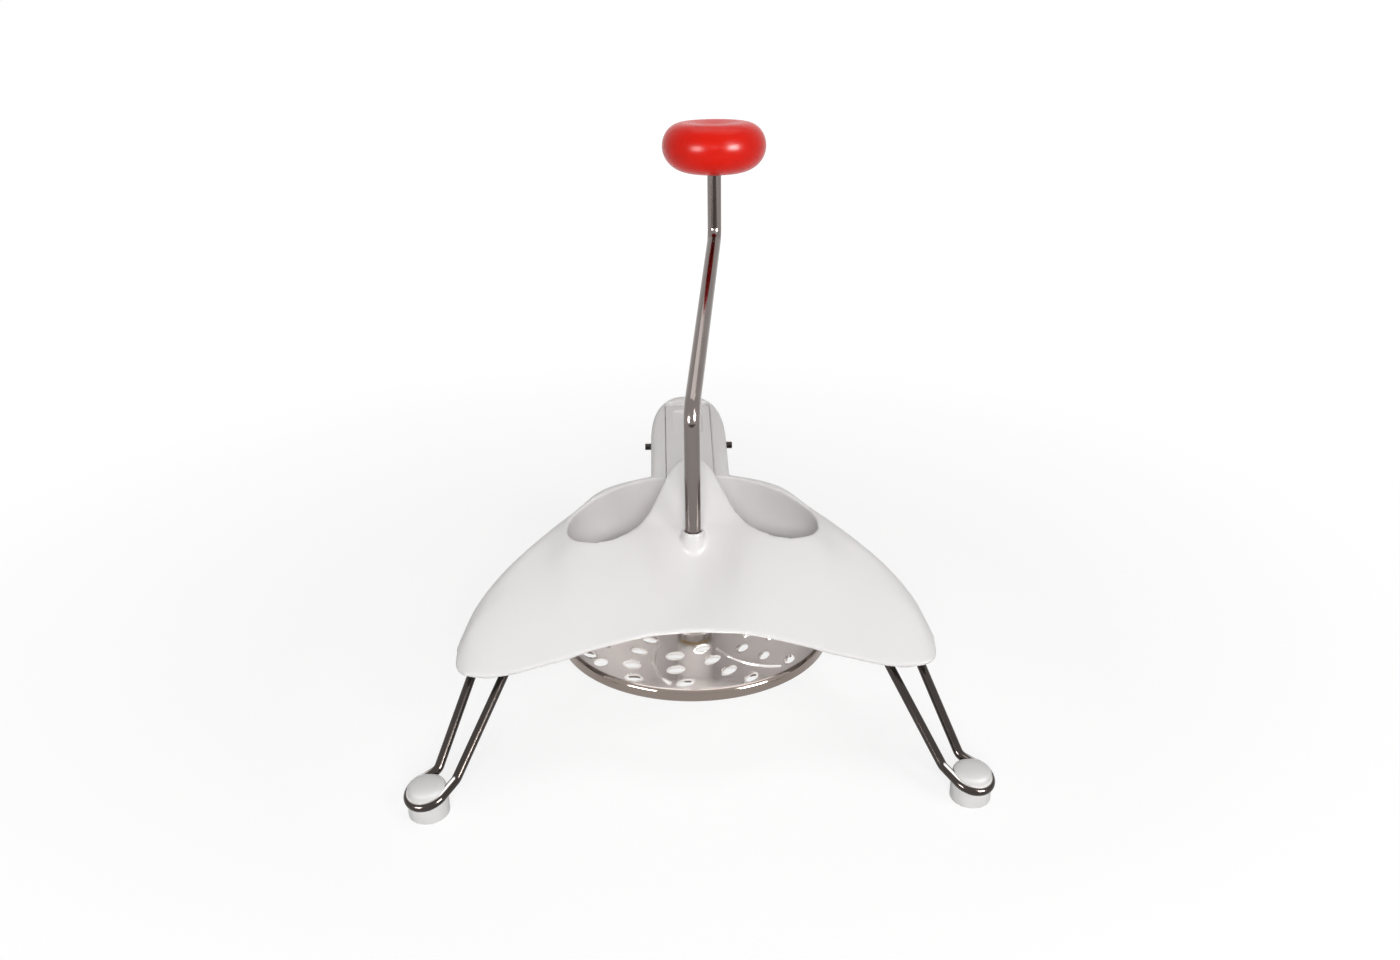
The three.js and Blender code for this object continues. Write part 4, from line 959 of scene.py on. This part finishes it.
profile = [(bore_radius, knob_bottom + 0.25)]
lower_half, upper_half = (9, 0.86, 12.85, range(-32, 1)), (14.5, 0.9, 11.35, range(1, 33))
for inner, fullness, height, steps in (lower_half, upper_half):
    for k in steps:
        a = math.radians(90 * k / 32)
        radius = inner + math.cos(a) ** fullness * (knob_radius - inner)
        profile.append((radius, knob_middle + math.sin(a) * height))
profile = [(r, h) for r, h in profile if r > 14.6 or h < knob_middle]
profile += [(14.0, dish(dish_radius) - 0.01), (13.3, dish(14.4)), (seat_radius, dish(cap_drop))]
profile += [(seat_radius, seat_floor), (step_radius, seat_floor)]
profile += [(step_radius, step_z), (bore_radius, step_z)]
knob = turned("knob_red", profile, spindle_x, spindle_y, 128)
dress(knob, 40, "knob", knob_paint, "knob_red", "knob_body")
cap_radius = seat_radius - 0.06
cap_profile = [(0, seat_floor + 0.3), (cap_radius, seat_floor + 0.3)]
cap_profile += [(cap_radius * (1 - k / 12), dish(cap_drop * (1 - k / 12))) for k in range(13)]
cap = turned("knob_cap_red", cap_profile, spindle_x, spindle_y, 128)
dress(cap, 40, "knob", knob_paint, "knob_red", "knob_cap")

# %% [markdown]
# ## Crank rod and leg wires
# The crank is one steel rod bent twice, and each leg is one steel wire with a ring for its foot.
# A wire is best drawn as a curve through its bends, given a round section and made a mesh.
# Each corner is replaced by an arc of its real bend radius.


# %% Bent wire
def bent_places(corners, steps=14):
    """Corners of a path with their bend radii, as points along straight runs and arcs."""
    places = []
    for k, (corner, radius) in enumerate(corners):
        here = Vector(corner)
        if not radius or k in (0, len(corners) - 1):
            places.append(here)
            continue
        into = (here - Vector(corners[k - 1][0])).normalized()
        out = (Vector(corners[k + 1][0]) - here).normalized()
        bend = into.angle(out)
        reach = radius * math.tan(bend / 2)
        start = here - into * reach
        axis = into.cross(out).normalized()
        centre = start + axis.cross(into) * radius
        arm = start - centre
        for step in range(steps + 1):
            places.append(centre + Matrix.Rotation(bend * step / steps, 3, axis) @ arm)
    return places


def wire(name, places, radius, sides=8):
    """A round bar along places in millimetres from the crank axis."""
    line = bpy.data.curves.new(name, "CURVE")
    line.dimensions = "3D"
    line.twist_mode = "MINIMUM"
    spline = line.splines.new("POLY")
    spline.points.add(len(places) - 1)
    for point, place in zip(spline.points, places):
        point.co = (*spot(*place), 1)
    line.bevel_depth = radius * MM
    line.bevel_resolution = sides
    line.use_fill_caps = True
    drawn = bpy.data.objects.new(name, line)
    bpy.context.scene.collection.objects.link(drawn)
    only(drawn)
    bpy.ops.object.convert(target="MESH")
    piece = bpy.context.object
    open_edit()
    bpy.ops.mesh.remove_doubles(threshold=1e-7)
    close_edit()
    return piece


rod_radius, rod_bottom, low_bend_z, high_bend_z, rod_top = 3.5, 30.6, 138.3, 188.4, 237.7
rod_corners = [((0, 0, rod_bottom), 0), ((0, 0, low_bend_z), 11)]
rod_corners += [((spindle_x, spindle_y, high_bend_z), 8), ((spindle_x, spindle_y, rod_top), 0)]
rod = wire("crank_steel", bent_places(rod_corners, 18), rod_radius, 14)
dress(rod, 40, "crank", rod_steel, "wire_steel", "crank_rod")


# %% Front and rear legs
ring_radius, ring_height, ring_tilt = 7.45, 10.2, 2.1


def foot_ring(x, y, start, end, lift, count=40):
    """The ring of wire that goes round a foot."""
    places = []
    for k in range(count + 1):
        a = math.radians(start + (end - start) * k / count)
        z = ring_height + math.cos(a - math.radians(lift)) * ring_tilt
        places.append((x + math.cos(a) * ring_radius, y + math.sin(a) * ring_radius, z))
    return places


front_foot = (109, -86)
ring = foot_ring(*front_foot, -150, 73, 125)
front_path = bent_places(
    [
        ((near_x - wire_bend - end_run, *front_pivot), 0),
        ((near_x, *front_pivot), wire_bend),
        ((98, -82, 12.5), 6),
        *[(place, 0) for place in ring],
        ((105.8, -77.4, 14.2), 4),
        ((far_x, *front_pivot), wire_bend),
        ((far_x + wire_bend + end_run, *front_pivot), 0),
    ],
    10,
)
left_path = [Vector((-p[0], p[1], p[2])) for p in front_path]
rear_foot = (0, 122)
rear_ring = foot_ring(*rear_foot, -35, 215, -90)
rear_run = (rear_foot[1] - rear_y) / (rear_z - ring_height)


def rear_side(side):
    low_x = abs(rear_ring[0][0]) + 2
    return [
        ((side * 22, rear_y, rear_z), 0),
        ((side * rear_x, rear_y, rear_z), wire_bend),
        ((side * rear_x, rear_y + 24 * rear_run, rear_z - 24), 6),
        ((side * low_x, rear_foot[1] - ring_radius * 1.1, ring_height + ring_tilt * 1.6), 4),
    ]


rear_path = bent_places([*rear_side(1), *[(p, 0) for p in rear_ring], *rear_side(-1)[::-1]], 10)
wire_radius = 1.95
legs = {
    "right_leg": ("front_right_leg", front_path, front_foot),
    "left_leg": ("front_left_leg", left_path, (-front_foot[0], front_foot[1])),
    "back_leg": ("rear_leg", rear_path, rear_foot),
}
for body, (node, path, _) in legs.items():
    leg = wire(f"{node}_wire", path, wire_radius)
    dress(leg, 40, body, leg_steel, "wire_steel", node)

# %% [markdown]
# ## Rubber feet
# Each foot is a soft white plug pushed into its ring of wire, with a low dome above and a straight base.
# The plug is turned from a profile, and the groove is cut with a slightly fatter run of the same wire.

# %% Feet
foot_profile = [(0, 0), (7.1, 0), (7.75, 0.2), (8.05, 0.55), (8.12, 1.1), (8.12, 8.0), (7.75, 10.2)]
foot_profile += [(7.74, 11.6), (7.6, 12.6), (7.2, 13.35), (6.5, 13.85), (5.5, 14.25), (4.2, 14.55)]
foot_profile += [(2.8, 14.75), (1.4, 14.87), (0, 14.9)]
for body, (node, path, (x, y)) in legs.items():
    foot = turned(f"{node.replace('leg', 'foot')}_rubber", foot_profile, x, y, 72)
    groove = wire("groove", path, wire_radius + 0.12)
    combine(foot, groove, "DIFFERENCE")
    dress(foot, 40, body, foot_white, "foot_rubber", node.replace("leg", "foot"))

# %% [markdown]
# ## Cutting disc
# The disc is a thin dished sheet of polished steel with a turned-down rim.
# Rows of teeth stand over small holes. Each tooth is half of a thin dome, open on one side.
# One tooth and one hole are made and copied along the rows. Curved ribs are pressed between them.

# %% The sheet and its rim
disc_top, disc_sheet, disc_radius, disc_bore, edge = 37.6, 1.0, 61.5, 6.8, 1.8
profile = [(disc_bore, disc_top - disc_sheet), (58.7, disc_top - disc_sheet)]
profile += arc(58.7, 34.8, edge, 90, 0, 6)[1:]
profile += [(60.5, 32.75), (60.75, 32.6), (61.25, 32.6), (disc_radius, 32.75)]
profile += arc(59.7, 35.8, edge, 0, 90, 8)
profile += [(radius, disc_top) for radius in (50, 40, 30, 20, disc_bore)]
disc = turned("slicing_disc", profile, steps=160)
report(disc)


# %% One tooth and one hole
def dome(name, length, width, height, sunk):
    """An oval dome on the disc's surface, sunk a little into it."""
    bpy.ops.mesh.primitive_uv_sphere_add(segments=24, ring_count=12, radius=1, location=(0, 0, 0))
    piece = named(name)
    for vert in piece.data.vertices:
        flat = vert.co.z < -1e-4
        vert.co.x *= length / 2
        vert.co.y *= width / 2
        vert.co.z = -sunk if flat else vert.co.z * height
    return piece


tooth_length, tooth_width, tooth_height, sheet = 8.2, 5.0, 2.0, 0.6
hood = dome("tooth", tooth_length, tooth_width, tooth_height, 0.3)
hollow = dome("tooth_hollow", tooth_length - 2 * sheet, tooth_width - 2 * sheet, tooth_height - sheet, 1.4)
bpy.ops.mesh.primitive_cube_add(size=20, location=(0, 10, 0))
combine(hood, named("front_half"), "INTERSECT")
combine(hood, hollow, "DIFFERENCE", keep=True)
for piece in (hood, hollow):
    piece.data.transform(Matrix.Scale(MM, 4))
report(hood)

# %% Rows of teeth
long_row = list(zip([0.455, 0.618, 0.785, 0.925], [0, 5, 11, 18]))
short_row = list(zip([0.565, 0.74, 0.9], [5, 9, 15]))
first_row, row_count, tooth_turn = -84.6, 14, 110
teeth, holes = [], []
for row in range(row_count):
    for share, lag in long_row if row % 2 == 0 else short_row:
        a = first_row + row * 360 / row_count + lag
        turn, radius = math.radians(a), share * disc_radius
        place = spot(math.cos(turn) * radius, math.sin(turn) * radius, disc_top)
        seat = Matrix.Translation(place) @ Matrix.Rotation(math.radians(a + tooth_turn), 4, "Z")
        for source, kept, name in ((hood, teeth, "tooth"), (hollow, holes, "hole")):
            made = copy_of(source, f"{name}_{len(kept)}")
            made.data.transform(seat)
            kept.append(made)
combine(disc, joined(holes, "all_holes"), "DIFFERENCE")
for source in (hood, hollow):
    bpy.data.objects.remove(source)
key_turn, key_reach, key_radius = math.radians(-138), 55.35, 3
x, y = math.cos(key_turn) * key_reach, math.sin(key_turn) * key_reach
combine(disc, post("key_hole", key_radius, 30, 45, x=x, y=y, sides=32), "DIFFERENCE")
report(disc)

# %% Ribs between the rows
ribs = []
rib_count, first_rib, rib_radius = 7, -122.9, 1.0
rib_line = list(zip([0.51, 0.6, 0.7, 0.8, 0.89, 0.96], [0, 2.5, 6, 10.5, 15.5, 21]))
for row in range(rib_count):
    places = []
    for share, lag in even_curve(rib_line, 24):
        a = math.radians(first_rib + row * 360 / rib_count + lag)
        radius = share * (disc_radius - edge - 1.2)
        places.append((math.cos(a) * radius, math.sin(a) * radius, 0))
    rib = wire(f"rib_{row}", places, rib_radius, 5)
    rib.data.transform(Matrix.Translation((0, 0, (disc_top - 0.05) * MM)) @ Matrix.Diagonal((1, 1, 0.9, 1)))
    ribs.append(rib)
disc = joined([disc, *teeth, *ribs], "slicing_disc")
dress(disc, 35, "crank", disc_steel, "disc_steel", "cutting_disc")

# %% [markdown]
# ## Presser lever
# A flat lever lies in the handle's channel. It swings up on its hinge to lift the pusher out of the hopper.
# It starts as a box with bevelled edges. A thin box with round corners cuts a shallow panel into its top.

# %% The lever bar, its neck and its knuckle
lever = slope_box(
    "presser_bar",
    (-lever_half, slope_length(lever_front_y), -lever_thickness),
    (lever_half, slope_length(hinge_y), 0),
)
neck_half, neck_low, neck_high = lever_half - 0.3, (38.8, 66.3), (44.4, 83.3)
neck = box("neck", (-neck_half, *neck_low), (neck_half, *neck_high))
round_edges(neck, 0.8, 3, 30)
combine(lever, neck, "UNION")
barrel = cross_post("barrel", knuckle_radius, -lever_half, lever_half, *hinge, 64)
combine(lever, barrel, "UNION")
combine(lever, arched("lever_arch", lever_half, lever_end_y), "INTERSECT")
round_edges(lever, 0.9, 4, 50)
panel_half, panel_depth, panel_end = 8, 0.9, slope_length(104)
panel_start = panel_end - 23
panel = slope_box("panel", (-panel_half, panel_start, -panel_depth), (panel_half, panel_end, margin))
round_edges(panel, 3.2, 8, 60)
combine(lever, panel, "DIFFERENCE")
combine(lever, cross_post("pin_bore", pin_bore_radius, -handle_half, handle_half, *hinge), "DIFFERENCE")
dress(lever, 35, "presser", lever_white, "lever_plastic", "presser_lever")

# %% [markdown]
# ## Pusher, hub and small metal
# The pusher's two lobes follow the hopper's outline just inside its wall.
# The hub carries the disc on the shaft. Rivets, pins, washer and clip keep their plain solids with a finish.

# %% Pusher
lobe_shares = [
    [0.15, 0.37], [0.17, 0.342], [0.21, 0.268], [0.25, 0.197], [0.29, 0.135], [0.36, 0.068],
    [0.425, 0.036], [0.475, 0.04], [0.51, 0.09], [0.48, 0.18], [0.405, 0.28], [0.29, 0.375],
    [0.17, 0.43], [0.15, 0.43],
]
lobe_outline = full_size(lobe_shares)
pusher_low, pusher_high, bridge_low, bridge_high = 48, 64, (-19, 40.7, 62), (19, 43, 66)
pusher = slab("pusher", lobe_outline, pusher_low, pusher_high)
other = slab("pusher_left", [(-x, y) for x, y in reversed(lobe_outline)], pusher_low, pusher_high)
bridge = box("bridge", bridge_low, bridge_high)
for piece in (pusher, other):
    round_edges(piece, 1.2, 4, 50)
combine(pusher, other, "UNION")
combine(pusher, bridge, "UNION")
dress(pusher, 35, "presser", lever_white, "lever_plastic", "pusher_block")

# %% Hub
hub_profile = [(3.9, 34.0), (6.2, 34.0), (6.5, 34.3), (6.5, 37.9), (13.2, 37.9), (13.5, 38.2), (13.5, 39.2)]
hub_profile += [(13.2, 39.5), (8.4, 39.5), (8, 39.9), (8, 46.1), (7.5, 46.6), (3.9, 46.6)]
hub = turned("disc_hub_steel", hub_profile, steps=96)
dress(hub, 30, "crank", small_steel, "disc_steel", "disc_hub")

# %% Finishes of the solids that stay
steel_bits = ["lever_pin", "drive_pin", "knob_clip", "pusher_screw_left", "pusher_screw_right"]
steel_bits += ["hub_rivet_1", "hub_rivet_2", "hub_rivet_3"]
finishes = dict.fromkeys(steel_bits, small_steel)
finishes |= {"shaft_bush": bush_grey, "thrust_washer": washer_brass}
for node, paint in finishes.items():
    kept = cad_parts[node]
    kept.data.materials.clear()
    kept.data.materials.append(paint)
print("finished", len(finishes), "small solids")

# %% Sizes at the end
low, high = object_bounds()
print("visual box", [round(v, 5) for v in low], [round(v, 5) for v in high])
